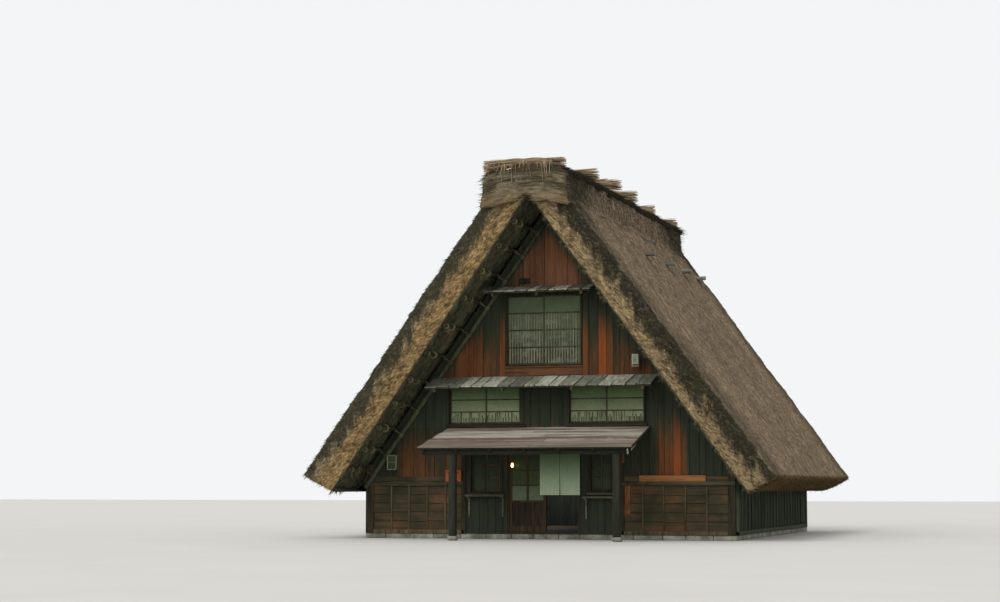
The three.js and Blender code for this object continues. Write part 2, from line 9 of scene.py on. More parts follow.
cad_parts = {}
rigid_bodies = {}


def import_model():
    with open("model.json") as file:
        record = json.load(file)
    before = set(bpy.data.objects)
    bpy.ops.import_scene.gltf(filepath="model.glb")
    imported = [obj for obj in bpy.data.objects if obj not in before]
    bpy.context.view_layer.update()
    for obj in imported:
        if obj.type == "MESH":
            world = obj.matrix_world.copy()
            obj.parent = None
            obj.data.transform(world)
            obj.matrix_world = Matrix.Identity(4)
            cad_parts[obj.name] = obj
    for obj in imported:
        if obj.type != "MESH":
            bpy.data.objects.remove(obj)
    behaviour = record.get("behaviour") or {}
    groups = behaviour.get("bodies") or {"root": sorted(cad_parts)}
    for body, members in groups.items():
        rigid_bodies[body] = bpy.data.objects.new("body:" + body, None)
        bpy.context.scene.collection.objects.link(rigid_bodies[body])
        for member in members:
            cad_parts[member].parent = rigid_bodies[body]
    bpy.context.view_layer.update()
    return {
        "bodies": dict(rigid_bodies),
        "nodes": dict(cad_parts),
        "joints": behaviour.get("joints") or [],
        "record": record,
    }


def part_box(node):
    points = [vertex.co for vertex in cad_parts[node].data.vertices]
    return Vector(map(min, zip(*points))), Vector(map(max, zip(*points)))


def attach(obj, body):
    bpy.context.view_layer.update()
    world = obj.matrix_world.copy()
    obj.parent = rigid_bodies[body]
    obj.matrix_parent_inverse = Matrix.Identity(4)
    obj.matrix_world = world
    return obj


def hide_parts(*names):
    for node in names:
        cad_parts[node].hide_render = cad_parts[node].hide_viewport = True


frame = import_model()
noise.seed_set(7)  # so that the poles bend the same way in each run

# Thatched farmhouse. Metres, X across the front gable, Y from front to back, Z up.
# Places are read from the frame.

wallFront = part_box("front_gable_lower")[0].y
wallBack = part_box("back_gable_lower")[1].y
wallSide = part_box("right_side_wall")[1].x
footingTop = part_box("stone_footing")[1].z
thatchLow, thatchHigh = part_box("thatch_right")

roof = {
    "rise": 1.38,  # for each metre of run
    "thick": 0.76,
    "leftSwell": 0.08,  # more at the left eave, where the old thatch bulges
    "eave": 5.2,  # inner edge of the eave, from the middle of the house
    "flare": 0.12,  # how far down the slope the outer edge of the eave lies
    "overhang": 0.06,  # how far the verge stands out before the poles, at the eave
    "lean": 0.4,  # how far the verge comes forward from the eave up to the ridge
    "overMiddle": 0.06,  # each slope runs this far into the other one
    "underCap": 0.3,  # the ridge of the slopes is cut off this far under the top of the cap
    "worn": 0.2,  # rounding of the verge's outer edge
    "verge": 9.1,  # length of the verge's inner edge
    "voxel": 0.07,
    "waves": [((2.6, 0.9, 2.6), 0.026), ((0.7, 0.35, 0.7), 0.024), ((0.22, 0.22, 0.22), 0.016)],
}
slopeAngle = math.atan(roof["rise"])
slopeCos, slopeSin = math.cos(slopeAngle), math.sin(slopeAngle)
eaveInX = roof["eave"]
eaveInZ = thatchLow.z
ridgeInZ = eaveInZ + roof["rise"] * eaveInX
ridgeOutZ = ridgeInZ + roof["thick"] / slopeCos
vergeLean = -roof["lean"] / (ridgeInZ - eaveInZ)
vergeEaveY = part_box("roof_frame_right")[0].y - roof["overhang"]
vergeBackY = thatchHigh.y
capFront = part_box("ridge_cap")[0].y


def vergeY(z):  # front edge of the thatch at a height
    return vergeEaveY + vergeLean * (z - eaveInZ)


def downhill(side):
    return Vector((side * slopeCos, 0, -slopeSin))


def outwards(side):
    return Vector((side * slopeSin, 0, slopeCos))


def onSlope(side, up, y, depth):  # up from the eave, depth under the thatch
    eave = Vector((side * eaveInX, y, eaveInZ))
    return eave - downhill(side) * up - outwards(side) * depth


def rgb(red, green, blue):  # a display colour, made linear
    def linear(value):
        share = value / 255
        return share / 12.92 if share < 0.04045 else ((share + 0.055) / 1.055) ** 2.4
    return (linear(red), linear(green), linear(blue), 1.0)


# Nodes, with sums written as Python

class Link:
    def __init__(self, nodes, socket):
        self.nodes = nodes
        self.socket = socket

    def __add__(self, other):
        return self.nodes.maths("ADD", self, other)

    __radd__ = __add__

    def __sub__(self, other):
        return self.nodes.maths("SUBTRACT", self, other)

    def __rsub__(self, other):
        return self.nodes.maths("SUBTRACT", other, self)

    def __mul__(self, other):
        return self.nodes.maths("MULTIPLY", self, other)

    __rmul__ = __mul__

    def __abs__(self):
        return self.nodes.maths("ABSOLUTE", self)


class Nodes:
    def __init__(self, tree):
        self.tree = tree

    def add(self, kind, settings=None, inputs=None, output=0):
        node = self.tree.nodes.new(kind)
        for name, value in (settings or {}).items():
            if name == "stops":
                elements = node.color_ramp.elements
                while len(elements) < len(value):
                    elements.new(0.5)
                for element, (place, colour) in zip(elements, value):
                    element.position = place
                    element.color = colour
            else:
                setattr(node, name, value)
        for name, value in (inputs or {}).items():
            if isinstance(value, Link):
                self.tree.links.new(value.socket, node.inputs[name])
            else:
                node.inputs[name].default_value = value
        if isinstance(output, tuple):
            return [Link(self, node.outputs[name]) for name in output]
        return Link(self, node.outputs[output]) if len(node.outputs) else node

    def maths(self, operation, *values):
        return self.add("ShaderNodeMath", {"operation": operation}, dict(enumerate(values)))

    def most(self, first, second):
        return self.maths("MAXIMUM", first, second)

    def least(self, first, second):
        return self.maths("MINIMUM", first, second)

    def vector(self, operation, *values, output=0):
        return self.add("ShaderNodeVectorMath", {"operation": operation}, dict(enumerate(values)), output)

    def joined(self, x, y, z):
        return self.add("ShaderNodeCombineXYZ", None, {0: x, 1: y, 2: z})


class Paint(Nodes):
    def __init__(self, name):
        self.material = bpy.data.materials.new(name)
        self.material.use_nodes = True
        super().__init__(self.material.node_tree)
        self.tree.nodes.clear()
        self.place = self.add("ShaderNodeTexCoord", output="Object")
        self.x, self.y, self.z = self.add(
            "ShaderNodeSeparateXYZ", None, {0: self.place}, output=("X", "Y", "Z"))

    def mix(self, factor, first, second, blend="MIX"):
        settings = {"data_type": "RGBA", "blend_type": blend}
        return self.add("ShaderNodeMix", settings, {0: factor, 6: first, 7: second}, 2)

    def noise(self, size, stretch=(1, 1, 1), detail=3.0, rough=0.55, warp=0.0, vector=None, shift=0.0):
        place = self.vector("MULTIPLY", vector or self.place, stretch)
        return self.add("ShaderNodeTexNoise", {"noise_dimensions": "4D"}, {
            "Vector": place, "W": shift, "Scale": 1 / size,
            "Detail": detail, "Roughness": rough, "Distortion": warp,
        })

    def ease(self, value, low, high):  # 0 below low, 1 above high
        return self.add("ShaderNodeMapRange", {"interpolation_type": "SMOOTHSTEP"},
                        {"Value": value, "From Min": low, "From Max": high})

    def ramp(self, value, *stops):
        return self.add("ShaderNodeValToRGB", {"stops": stops}, {0: value})

    def threeTones(self, value, look):
        return self.ramp(value, (0.0, look["dark"]), (0.5, look["middle"]), (1.0, look["pale"]))

    def tone(self):  # the number that each board or straw was given
        return self.add("ShaderNodeAttribute", {"attribute_name": "tone"}, output="Fac")

    def bump(self, height, strength, distance):
        inputs = {"Strength": strength, "Distance": distance, "Height": height}
        return self.add("ShaderNodeBump", None, inputs)

    def finish(self, colour, roughness, normal=None, **constants):
        inputs = {"Base Color": colour, "Roughness": roughness, "Specular IOR Level": 0.12}
        if normal:
            inputs["Normal"] = normal
        inputs.update({name.replace("_", " "): value for name, value in constants.items()})
        shader = self.add("ShaderNodeBsdfPrincipled", None, inputs)
        self.add("ShaderNodeOutputMaterial", None, {"Surface": shader})
        return self.material


# Mesh helpers

def newMesh():
    bm = bmesh.new()
    bm.verts.layers.float.new("tone")
    return bm


def setTone(bm, verts, tone):
    layer = bm.verts.layers.float["tone"]
    for vert in verts:
        vert[layer] = tone


def merge(bm, part):
    mesh = makeMesh("part", part)
    bm.from_mesh(mesh)
    bpy.data.meshes.remove(mesh)


def addBlock(bm, low, high, tone=0.5, chamfer=0.0, turn=None):
    low, high = Vector(low), Vector(high)
    size = high - low
    place = Matrix.Translation((low + high) / 2) @ (turn or Matrix()) @ Matrix.Diagonal((*size, 1))
    verts = bmesh.ops.create_cube(bm, size=1, matrix=place)["verts"]
    if chamfer:
        edges = list(dict.fromkeys(edge for vert in verts for edge in vert.link_edges))
        verts = bmesh.ops.bevel(
            bm, geom=edges, offset=chamfer, offset_type="OFFSET", segments=1,
            profile=0.5, affect="EDGES", material=-1)["verts"]
    setTone(bm, verts, tone)
    return verts


def addPole(bm, start, end, radius, tone=0.5, bend=0.02, steps=8, sides=10, taper=0.85):
    start, end = Vector(start), Vector(end)
    axis = end - start
    place = Matrix.Translation((start + end) / 2) @ axis.to_track_quat("Z", "Y").to_matrix().to_4x4()
    pole = newMesh()
    bmesh.ops.create_cone(pole, cap_ends=True, segments=sides, radius1=radius, radius2=radius * taper,
                          depth=axis.length, matrix=place)
    lengthwise = [edge for edge in pole.edges if edge.calc_length() > axis.length * 0.9]
    if steps > 1:
        bmesh.ops.subdivide_edges(pole, edges=lengthwise, cuts=steps - 1)
    for vert in pole.verts:
        vert.co += noise.noise_vector(vert.co * 0.6) * bend
    setTone(pole, pole.verts, tone)
    merge(bm, pole)


def spinInto(bm, shape, geom, steps, place, tone):  # turns a profile into a closed shape and adds that to bm
    bmesh.ops.spin(
        shape, geom=geom, cent=(0, 0, 0), axis=(0, 0, 1), dvec=(0, 0, 0),
        angle=2 * math.pi, steps=steps, use_merge=True)
    bmesh.ops.remove_doubles(shape, verts=shape.verts[:], dist=0.0001)
    bmesh.ops.recalc_face_normals(shape, faces=shape.faces[:])
    bmesh.ops.transform(shape, matrix=place, verts=shape.verts[:])
    setTone(shape, shape.verts, tone)
    merge(bm, shape)


def addRing(bm, place, ring, cord, tone=0.5, stretch=(1, 1, 1), sides=6, steps=14):
    # a closed loop of cord round the Z axis of place
    across = Matrix.Translation((ring, 0, 0)) @ Matrix.Rotation(math.pi / 2, 4, "X")
    loop = newMesh()
    bmesh.ops.create_circle(loop, cap_ends=False, segments=sides, radius=cord, matrix=across)
    spinInto(bm, loop, loop.verts[:] + loop.edges[:], steps, place @ Matrix.Diagonal((*stretch, 1)), tone)


def addLathe(bm, points, place, steps=20, tone=0.5):  # a turned shape from (radius, height) points
    shape = newMesh()
    verts = [shape.verts.new((radius, 0, height)) for radius, height in points]
    edges = [shape.edges.new(pair) for pair in zip(verts, verts[1:])]
    spinInto(bm, shape, verts + edges, steps, place, tone)


def cutAway(bm, point, away):  # takes off what lies beyond a plane
    geom = bm.verts[:] + bm.edges[:] + bm.faces[:]
    bmesh.ops.bisect_plane(bm, geom=geom, dist=0.0001, plane_co=point, plane_no=away, clear_outer=True)


def closeHoles(bm):
    bmesh.ops.holes_fill(bm, edges=[edge for edge in bm.edges if edge.is_boundary], sides=0)


def evenly(first, last, count):
    return [first + (last - first) * i / (count - 1) for i in range(count)]


def makeMesh(name, bm):
    mesh = bpy.data.meshes.new(name)
    bm.to_mesh(mesh)
    bm.free()
    return mesh


def makePiece(name, shape, material, nodes=(), body="house", smooth=False):
    mesh = makeMesh(name, shape) if isinstance(shape, bmesh.types.BMesh) else shape
    mesh.name = name
    piece = looseObject(name, mesh)
    mesh.materials.clear()
    mesh.materials.append(material)
    if smooth:
        mesh.shade_smooth()
    else:
        mesh.shade_flat()
    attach(piece, body)
    if nodes:
        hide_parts(*nodes)
    return piece


def looseObject(name, data):
    piece = bpy.data.objects.new(name, data)
    bpy.context.scene.collection.objects.link(piece)
    return piece


def bakedMesh(piece):  # the mesh with its modifiers applied; the piece is removed
    bpy.context.view_layer.update()
    graph = bpy.context.evaluated_depsgraph_get()
    mesh = bpy.data.meshes.new_from_object(piece.evaluated_get(graph))
    bpy.data.objects.remove(piece)
    return mesh


def remeshed(name, bm, voxel):
    piece = looseObject(name, makeMesh(name, bm))
    remesh = piece.modifiers.new("remesh", "REMESH")
    remesh.mode = "VOXEL"
    remesh.voxel_size = voxel
    return bakedMesh(piece)


def roughen(mesh, waves, seed):  # moves points along their normals; waves are (size vector, amount)
    shift = Vector((seed * 7.3, seed * 3.1, seed * 5.7))
    normals = [vert.normal.copy() for vert in mesh.vertices]
    for vert, normal in zip(mesh.vertices, normals):
        move = 0
        for size, amount in waves:
            at = Vector((vert.co.x / size[0], vert.co.y / size[1], vert.co.z / size[2]))
            move += noise.noise(at + shift) * amount
        vert.co += normal * move


def dress(node, material):  # a better material on a CAD node
    for slot in frame["nodes"][node].material_slots:
        slot.material = material


# Straw strewn over a surface, each straw a thin spike

def strawSpike(width):
    bm = newMesh()
    bmesh.ops.create_cone(
        bm, cap_ends=True, segments=3, radius1=width, radius2=width * 0.1, depth=1,
        matrix=Matrix.Translation((0, 0, 0.5)))
    bmesh.ops.remove_doubles(bm, verts=bm.verts[:], dist=width * 0.3)
    return looseObject("strawSpike", makeMesh("strawSpike", bm))


def strew(name, surface, straw, material):
    # straw: facing and its limit, direction, spread, length range, width, how many to a square metre, seed
    spike = strawSpike(straw["width"])
    ground = looseObject(name + "Ground", surface.copy())
    group = bpy.data.node_groups.new(name, "GeometryNodeTree")
    group.interface.new_socket("Geometry", in_out="INPUT", socket_type="NodeSocketGeometry")
    group.interface.new_socket("Geometry", in_out="OUTPUT", socket_type="NodeSocketGeometry")
    nodes = Nodes(group)
    mesh = nodes.add("NodeGroupInput")
    normal = nodes.add("GeometryNodeInputNormal")
    facing = nodes.vector("DOT_PRODUCT", normal, straw["facing"], output="Value")
    chosen = nodes.add("FunctionNodeCompare", {"data_type": "FLOAT", "operation": "GREATER_THAN"},
                       {0: facing, 1: straw["limit"]})
    points = nodes.add("GeometryNodeDistributePointsOnFaces", {"distribute_method": "RANDOM"}, {
        "Mesh": mesh, "Selection": chosen, "Density": straw["density"], "Seed": straw["seed"]})
    tone = nodes.add("FunctionNodeRandomValue", {"data_type": "FLOAT"}, {2: 0.0, 3: 1.0, "Seed": 5}, 1)
    toned = nodes.add("GeometryNodeStoreNamedAttribute", {"data_type": "FLOAT", "domain": "POINT"},
                      {"Geometry": points, "Name": "tone", "Value": tone})
    spread = straw["spread"]
    jitter = nodes.add("FunctionNodeRandomValue", {"data_type": "FLOAT_VECTOR"},
                       {0: (-spread,) * 3, 1: (spread,) * 3, "Seed": 3})
    heading = nodes.vector("ADD", straw["direction"], jitter)
    turn = nodes.add("FunctionNodeAlignRotationToVector", {"axis": "Z"}, {"Vector": heading})
    shortest, longest = straw["length"]
    length = nodes.add("FunctionNodeRandomValue", {"data_type": "FLOAT"},
                       {2: shortest, 3: longest, "Seed": 4}, 1)
    size = nodes.joined(1.0, 1.0, length)
    made = nodes.add("GeometryNodeObjectInfo", None, {"Object": spike}, "Geometry")
    instances = nodes.add("GeometryNodeInstanceOnPoints", None, {
        "Points": toned, "Instance": made, "Rotation": turn, "Scale": size})
    real = nodes.add("GeometryNodeRealizeInstances", None, {"Geometry": instances})
    nodes.add("NodeGroupOutput", None, {0: real})
    modifier = ground.modifiers.new("strew", "NODES")
    modifier.node_group = group
    mesh = bakedMesh(ground)
    bpy.data.objects.remove(spike)
    print("straw", name, len(mesh.vertices))
    return makePiece(name, mesh, material)


# Finishes

def thatchFinish(name, straws=False):
    look = {
        "streakPale": rgb(168, 150, 126), "streakDark": rgb(92, 79, 63),
        "patchPale": rgb(166, 144, 114), "patchDark": rgb(116, 102, 84),
        "innerPale": rgb(192, 162, 113), "innerDark": rgb(98, 79, 53),
        "outerPale": rgb(180, 162, 128), "outerDark": rgb(90, 79, 59),
        "eavePale": rgb(126, 102, 68), "eaveDark": rgb(62, 50, 32),
        "under": rgb(104, 106, 82), "underDark": rgb(56, 62, 48), "underWarm": rgb(112, 94, 62),
        "strawDark": rgb(84, 72, 56), "strawPale": rgb(176, 157, 128),
        "moss": rgb(37, 37, 29), "paleMoss": rgb(70, 68, 54), "fleck": rgb(118, 110, 90),
        "mossWidth": (0.17, 0.32), "ridgeMoss": (1.0, 1.6), "topMoss": (6.7, 7.9), "bareFoot": (1.4, 2.6),
        "stain": (0.08, 0.26), "stainLength": (0.15, 0.75),
        "cut": (0.82, 0.57),  # the straws' way in the verge, outwards and down
    }
    paint = Paint(name)
    mix, ease = paint.mix, paint.ease
    x, y, z = paint.x, paint.y, paint.z
    across = abs(x)
    down = across * slopeCos - z * slopeSin
    depth = across * slopeSin + (z - ridgeInZ) * slopeCos  # up from the underside
    vergeLine = (z - eaveInZ) * vergeLean + vergeEaveY
    edge = paint.least(y - vergeLine, vergeBackY - y)
    fromArris = roof["thick"] - depth
    flat = paint.joined(down, y, depth)
    fine = paint.noise(0.03, (0.14, 1, 0.5), 4, 0.75, vector=flat)
    coarse = paint.noise(0.14, (0.3, 1, 0.5), 4, 0.7, vector=flat, shift=3.0)
    patch = paint.noise(1.6, (0.5, 1, 1), 3, 0.6, vector=flat, shift=8.0)
    streaks = ease(fine * 0.78 + coarse * 0.22, 0.4, 0.62)
    slope = mix(streaks, look["streakDark"], look["streakPale"])
    patches = mix(ease(patch, 0.3, 0.7), look["patchDark"], look["patchPale"])
    slope = mix(0.34, slope, patches)
    # the cut ends in the verge run outwards and down, flatter than the slope
    out, fall = look["cut"]
    cut = paint.joined(across * out - z * fall, y, across * fall + z * out)
    ends = paint.noise(0.045, (0.4, 1, 1), 3, 0.8, vector=cut, shift=5.0)
    clumps = paint.noise(0.13, (0.5, 1, 1), 3, 0.65, vector=cut, shift=11.0)
    endShade = ease(ends * 0.6 + clumps * 0.4, 0.4, 0.59)
    drips = paint.noise(0.26, (1, 1, 0.3), 4, 0.75, shift=21.0)  # rain drew the moss straight down
    warmth = 0.4 + 0.6 * ease(0 - x, -1.0, 1.5)  # the left verge is the warmer one
    innerShare = (1 - ease(depth + drips * 0.3, 0.42, 0.78)) * warmth
    inner = mix(endShade, look["innerDark"], look["innerPale"])
    outer = mix(endShade, look["outerDark"], look["outerPale"])
    onVerge = 1 - ease(edge, 0.04, 0.14)
    eaveLine = eaveInX * slopeCos - eaveInZ * slopeSin
    onEave = ease(down - depth * (roof["flare"] / roof["thick"]), eaveLine - 0.07, eaveLine - 0.02)
    colour = mix(onEave, slope, mix(endShade, look["eaveDark"], look["eavePale"]))
    colour = mix(onVerge, colour, mix(innerShare, outer, inner))
    bare = (1 - ease(z, *look["bareFoot"])) * 0.2  # little moss grows near the eaves
    onLeft = ease(0 - x, -0.2, 0.4)  # the left verge has the thinner moss
    bare = bare * (0.3 + 0.7 * onLeft)
    nearArris = paint.most(edge * 1.7, fromArris * (0.58 + 0.26 * onLeft))
    band = 1 - ease(nearArris + (drips - 0.5) * (0.75 + 0.55 * onLeft) + bare, *look["mossWidth"])
    ridge = (1 - ease(across + drips * 0.8, *look["ridgeMoss"])) * (1 - onVerge) * 0.25
    mossy = paint.most(band * 0.94, ridge * (0.62 + endShade * 0.35))
    nearVerge = 1 - ease(edge + (patch - 0.5) * 0.9, 0.3, 1.7)  # damp for some way in from the verge
    nearTop = ease(z, *look["topMoss"]) * (1 - ease(edge + (drips - 0.5) * 0.8, 0.5, 1.3))
    mossy = paint.most(mossy, paint.most(nearVerge * 0.5, nearTop * 0.85) * (1 - onVerge))
    fleck = ease(paint.noise(0.07, (0.6, 1, 1), 4, 0.8, vector=cut, shift=31.0), 0.53, 0.62)
    moss = mix(fleck * 0.55, mix(onLeft * 0.75, look["moss"], look["paleMoss"]), look["fleck"])
    for number in range(1, 5):  # dark runs under the tie rods
        low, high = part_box(f"ridge_tie_rod_{number}")
        below = low.z + 0.02 - z
        aside = abs(y - (low.y + high.y) / 2) + (drips - 0.5) * 0.12
        run = (1 - ease(aside, *look["stain"])) * ease(below, -0.02, 0.03)
        mossy = paint.most(mossy, run * (1 - ease(below + fine * 0.3, *look["stainLength"])) * 0.9)
    under = mix(ease(clumps, 0.4, 0.6), look["underDark"], look["under"])
    under = mix(ease(drips, 0.54, 0.66) * 0.8, under, look["underWarm"])
    if straws:
        own = mix(paint.tone(), look["strawDark"], look["strawPale"])
        colour = mix(mossy * 0.9, mix(0.3, colour, own), moss)
        under = mix(0.45, under, mix(paint.tone(), look["underDark"], look["underWarm"]))
        colour = mix((1 - ease(depth, -0.02, 0.02)) * 0.85, colour, under)
        return paint.finish(colour, 0.95)
    colour = mix(mossy, colour, moss)
    colour = mix(1 - ease(depth, -0.01, 0.03), colour, under)
    height = fine * (1 - onVerge) + ends * onVerge + coarse * 0.5
    return paint.finish(colour, 0.95, paint.bump(height, 0.8, 0.05))


def ridgeCapFinish(name, straws=False):
    look = {
        "pale": rgb(144, 131, 105), "dark": rgb(59, 54, 41), "warm": rgb(150, 119, 79),
        "side": rgb(44, 42, 33), "sidePale": rgb(92, 83, 66), "frontDepth": (0.05, 0.2),
        "backPale": rgb(160, 142, 118), "backDark": rgb(84, 73, 59), "darkCorner": (1.1, 3.4),
    }
    paint = Paint(name)
    mix, ease = paint.mix, paint.ease
    x, y, z = paint.x, paint.y, paint.z
    low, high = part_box("ridge_cap")
    arched = paint.joined(x, y, z + x * x * 0.16)
    layers = paint.noise(0.045, (0.1, 1, 1), 4, 0.7, vector=arched, shift=2.0)
    folds = paint.noise(0.3, (0.4, 1, 1), 3, 0.6, vector=arched, shift=4.0)
    front = mix(ease(layers * 0.6 + folds * 0.4, 0.4, 0.6), look["dark"], look["pale"])
    lowest = 1 - ease(z + folds * 0.4 - 0.2, ridgeCap["foot"], ridgeCap["foot"] + 0.35)
    front = mix(lowest * 0.35, front, look["warm"])
    # painted shade under the front roll: the top of the cap's front end takes the dark side colour
    underRoll = ease(z + folds * 0.3 - 0.15, ridgeCap["foot"] + 0.6, ridgeCap["foot"] + 0.86)
    front = mix(underRoll * 0.8, front, look["side"])
    leaning = paint.joined(x, y * 0.9 + z * 0.44, z * 0.9 - y * 0.44)
    sideStreaks = paint.noise(0.03, (1, 1, 0.14), 4, 0.75, vector=leaning, shift=6.0)
    streak = ease(sideStreaks, 0.4, 0.66)
    side = mix(streak, look["side"], look["sidePale"])
    inside = paint.least(y - low.y, high.y - y)
    patches = paint.noise(1.1, (1, 1, 1), 3, 0.65, shift=16.0)
    # The side is dark near the front end and up high: moss, with painted shade. Further back it takes the
    # paler back colours.
    worn = ease(inside + (patches - 0.5) * 4.0 - (z - 8.5) * 1.5, *look["darkCorner"])
    side = mix(worn, side, mix(streak, look["backDark"], look["backPale"]))
    onSide = ease(inside + folds * 0.1, *look["frontDepth"])
    colour = mix(onSide, front, side)
    if straws:
        colour = mix(0.22, colour, mix(paint.tone(), look["side"], look["pale"]))
        return paint.finish(colour, 0.95)
    return paint.finish(colour, 0.95, paint.bump(layers, 0.9, 0.04))


def strawFinish(name, pale, dark):
    paint = Paint(name)
    fibres = paint.noise(0.02, (0.06, 1, 1), 3, 0.6)
    shade = paint.ease(fibres * 0.6 + paint.tone() * 0.4, 0.3, 0.7)
    return paint.finish(paint.mix(shade, dark, pale), 0.9, paint.bump(fibres, 0.7, 0.01))


def ropeFinish(name, pale, dark):
    paint = Paint(name)
    twist = paint.noise(0.018, (1, 1, 1), 3, 0.6)
    worn = paint.noise(0.4, (1, 1, 1), 2, 0.5, shift=3.0)
    shade = paint.ease(twist * 0.5 + worn * 0.5, 0.38, 0.6)
    return paint.finish(paint.mix(shade, dark, pale), 0.95, paint.bump(twist, 0.8, 0.008))


grains = {"X": (0.06, 1, 1), "Y": (1, 0.06, 1), "Z": (1, 1, 0.06)}  # noise drawn out along a board


def grainOf(paint, run, size=0.016):  # fibres and broader bands along a board, shifted for each board
    shift = paint.tone() * 37.0
    fibres = paint.noise(size, grains[run], 4, 0.65, 0.3, shift=shift)
    bands = paint.noise(size * 6, grains[run], 3, 0.6, 0.6, shift=shift + 9.0)
    return fibres, bands


def brighter(paint, colour, value, saturation=1.0):
    inputs = {"Color": colour, "Value": value, "Saturation": saturation}
    return paint.add("ShaderNodeHueSaturation", None, inputs)


def timberFinish(name, run, pale, dark, spread=0.5, rough=0.85, stain=None):
    paint = Paint(name)
    fibres, bands = grainOf(paint, run)
    colour = paint.mix(paint.ease(fibres * 0.5 + bands * 0.5, 0.34, 0.66), dark, pale)
    if stain:
        blotch = paint.ease(paint.noise(0.35, (1, 1, 1), 4, 0.65, shift=14.0), 0.46, 0.64)
        colour = paint.mix(blotch * 0.8, colour, stain)
    colour = brighter(paint, colour, paint.tone() * spread + (1 - spread / 2))
    return paint.finish(colour, rough, paint.bump(fibres * 0.7 + bands * 0.3, 0.6, 0.008))


def gableBoardFinish(name):
    look = {
        "sootAndShade": rgb(35, 43, 33), "dark": rgb(52, 55, 42), "deep": rgb(50, 37, 27),
        "red": rgb(118, 72, 38), "bright": rgb(138, 71, 36), "brightest": (0.93, 0.98),
        # each storey's boards: where they start, how far up they stay red, and where they are dark
        "storeys": [(1.2, 1.6, 3.4), (3.97, 4.2, 5.8), (6.15, 6.8, 8.3)],
        "underThatch": (0.3, 1.0), "porchBay": (2.6, 2.7), "topStorey": (6.1, 6.2),
        # the boards beside the porch end here, and are red only in a strip on each side
        "sidesTop": (3.95, 3.99), "rightSide": (1.9, 1.92), "leftSide": (-2.0, -1.98),
        "redStrip": ((2.7, 2.85), (3.45, 3.6)), "leftRed": (-4.1, -3.6),
        "palerLeft": (-1.2, -1.1), "palerFrom": (2.7, 2.8),  # left of the upper windows
    }
    paint = Paint(name)
    mix, ease = paint.mix, paint.ease
    x, y, z = paint.x, paint.y, paint.z
    fibres, bands = grainOf(paint, "Z")
    tone = paint.tone()
    patch = paint.noise(0.5, (1, 1, 0.4), 4, 0.7, shift=3.0)
    red = 0.0
    for start, reddest, dark in look["storeys"]:
        above = ease(z, start, start + 0.05)  # the next storey takes over here
        here = above * (1 - ease(z - tone * 0.55 + 0.3, reddest, dark))
        red = red * (1 - above) + here
    # painted shade: the boards lose their red close under the thatch
    belowThatch = ridgeInZ - abs(x) * roof["rise"] - z
    red = red * (0.15 + 0.85 * ease(belowThatch, *look["underThatch"]))
    low = 1 - ease(z, *look["porchBay"])
    inBay = ease(x, bays["left"] - 0.02, bays["left"])
    inBay = inBay * low * (1 - ease(x, bays["right"], bays["right"] + 0.02))
    below = 1 - ease(z, *look["sidesTop"])
    start, finish = look["redStrip"]
    strip = ease(x, *start) * (1 - ease(x, *finish))
    right = ease(x, *look["rightSide"]) * (1 - strip)
    left = 1 - ease(x, *look["leftSide"])
    left = left * (1 - 0.65 * ease(x, *look["leftRed"]))
    red = red * (1 - paint.most(inBay, paint.most(right, left) * below) * 0.85)
    grain = ease(fibres * 0.5 + bands * 0.5, 0.34, 0.66)
    redWood = mix(grain * 0.55 + tone * 0.45, look["deep"], look["red"])
    glow = ease(patch * 0.6 + bands * 0.4, 0.38, 0.6)
    redWood = mix(ease(tone, *look["brightest"]) * (0.25 + 0.75 * glow), redWood, look["bright"])
    # the dark wood stands for soot near the top and for painted shade under the thatch
    darkWood = mix(grain, look["sootAndShade"], look["dark"])
    mask = ease(red * (0.6 + 0.45 * tone) + (bands - 0.5) * 0.55 + (patch - 0.5) * 0.7, 0.08, 0.9)
    colour = mix(mask, darkWood, redWood)
    top = ease(z, *look["topStorey"])
    beside = (1 - ease(x, *look["palerLeft"])) * ease(z, *look["palerFrom"])
    colour = brighter(paint, colour, 1 + 0.58 * top + 0.18 * beside * (1 - top), 1 - 0.1 * top)
    return paint.finish(colour, 0.75, paint.bump(fibres * 0.7 + bands * 0.3, 0.6, 0.006))


def panelBoardFinish(name):
    look = {"pale": rgb(98, 68, 45), "middle": rgb(67, 59, 42), "dark": rgb(45, 46, 33)}
    paint = Paint(name)
    fibres, bands = grainOf(paint, "X")
    weather = paint.noise(0.8, (1, 1, 1), 3, 0.6, shift=17.0)
    shade = paint.ease(weather * 0.6 + bands * 0.25 + fibres * 0.15, 0.36, 0.66)
    colour = paint.threeTones(shade, look)
    colour = brighter(paint, colour, 0.85 + paint.tone() * 0.3)
    return paint.finish(colour, 0.8, paint.bump(fibres * 0.7 + bands * 0.3, 0.6, 0.006))


def weatheredFinish(name):
    look = {"pale": rgb(186, 184, 168), "middle": rgb(127, 128, 113), "dark": rgb(80, 82, 70)}
    paint = Paint(name)
    fibres, bands = grainOf(paint, "Y")
    shade = paint.ease(fibres * 0.5 + bands * 0.5 + paint.tone() * 0.22, 0.38, 0.86)
    colour = paint.threeTones(shade, look)
    return paint.finish(colour, 0.85, paint.bump(fibres * 0.7 + bands * 0.3, 0.7, 0.008))


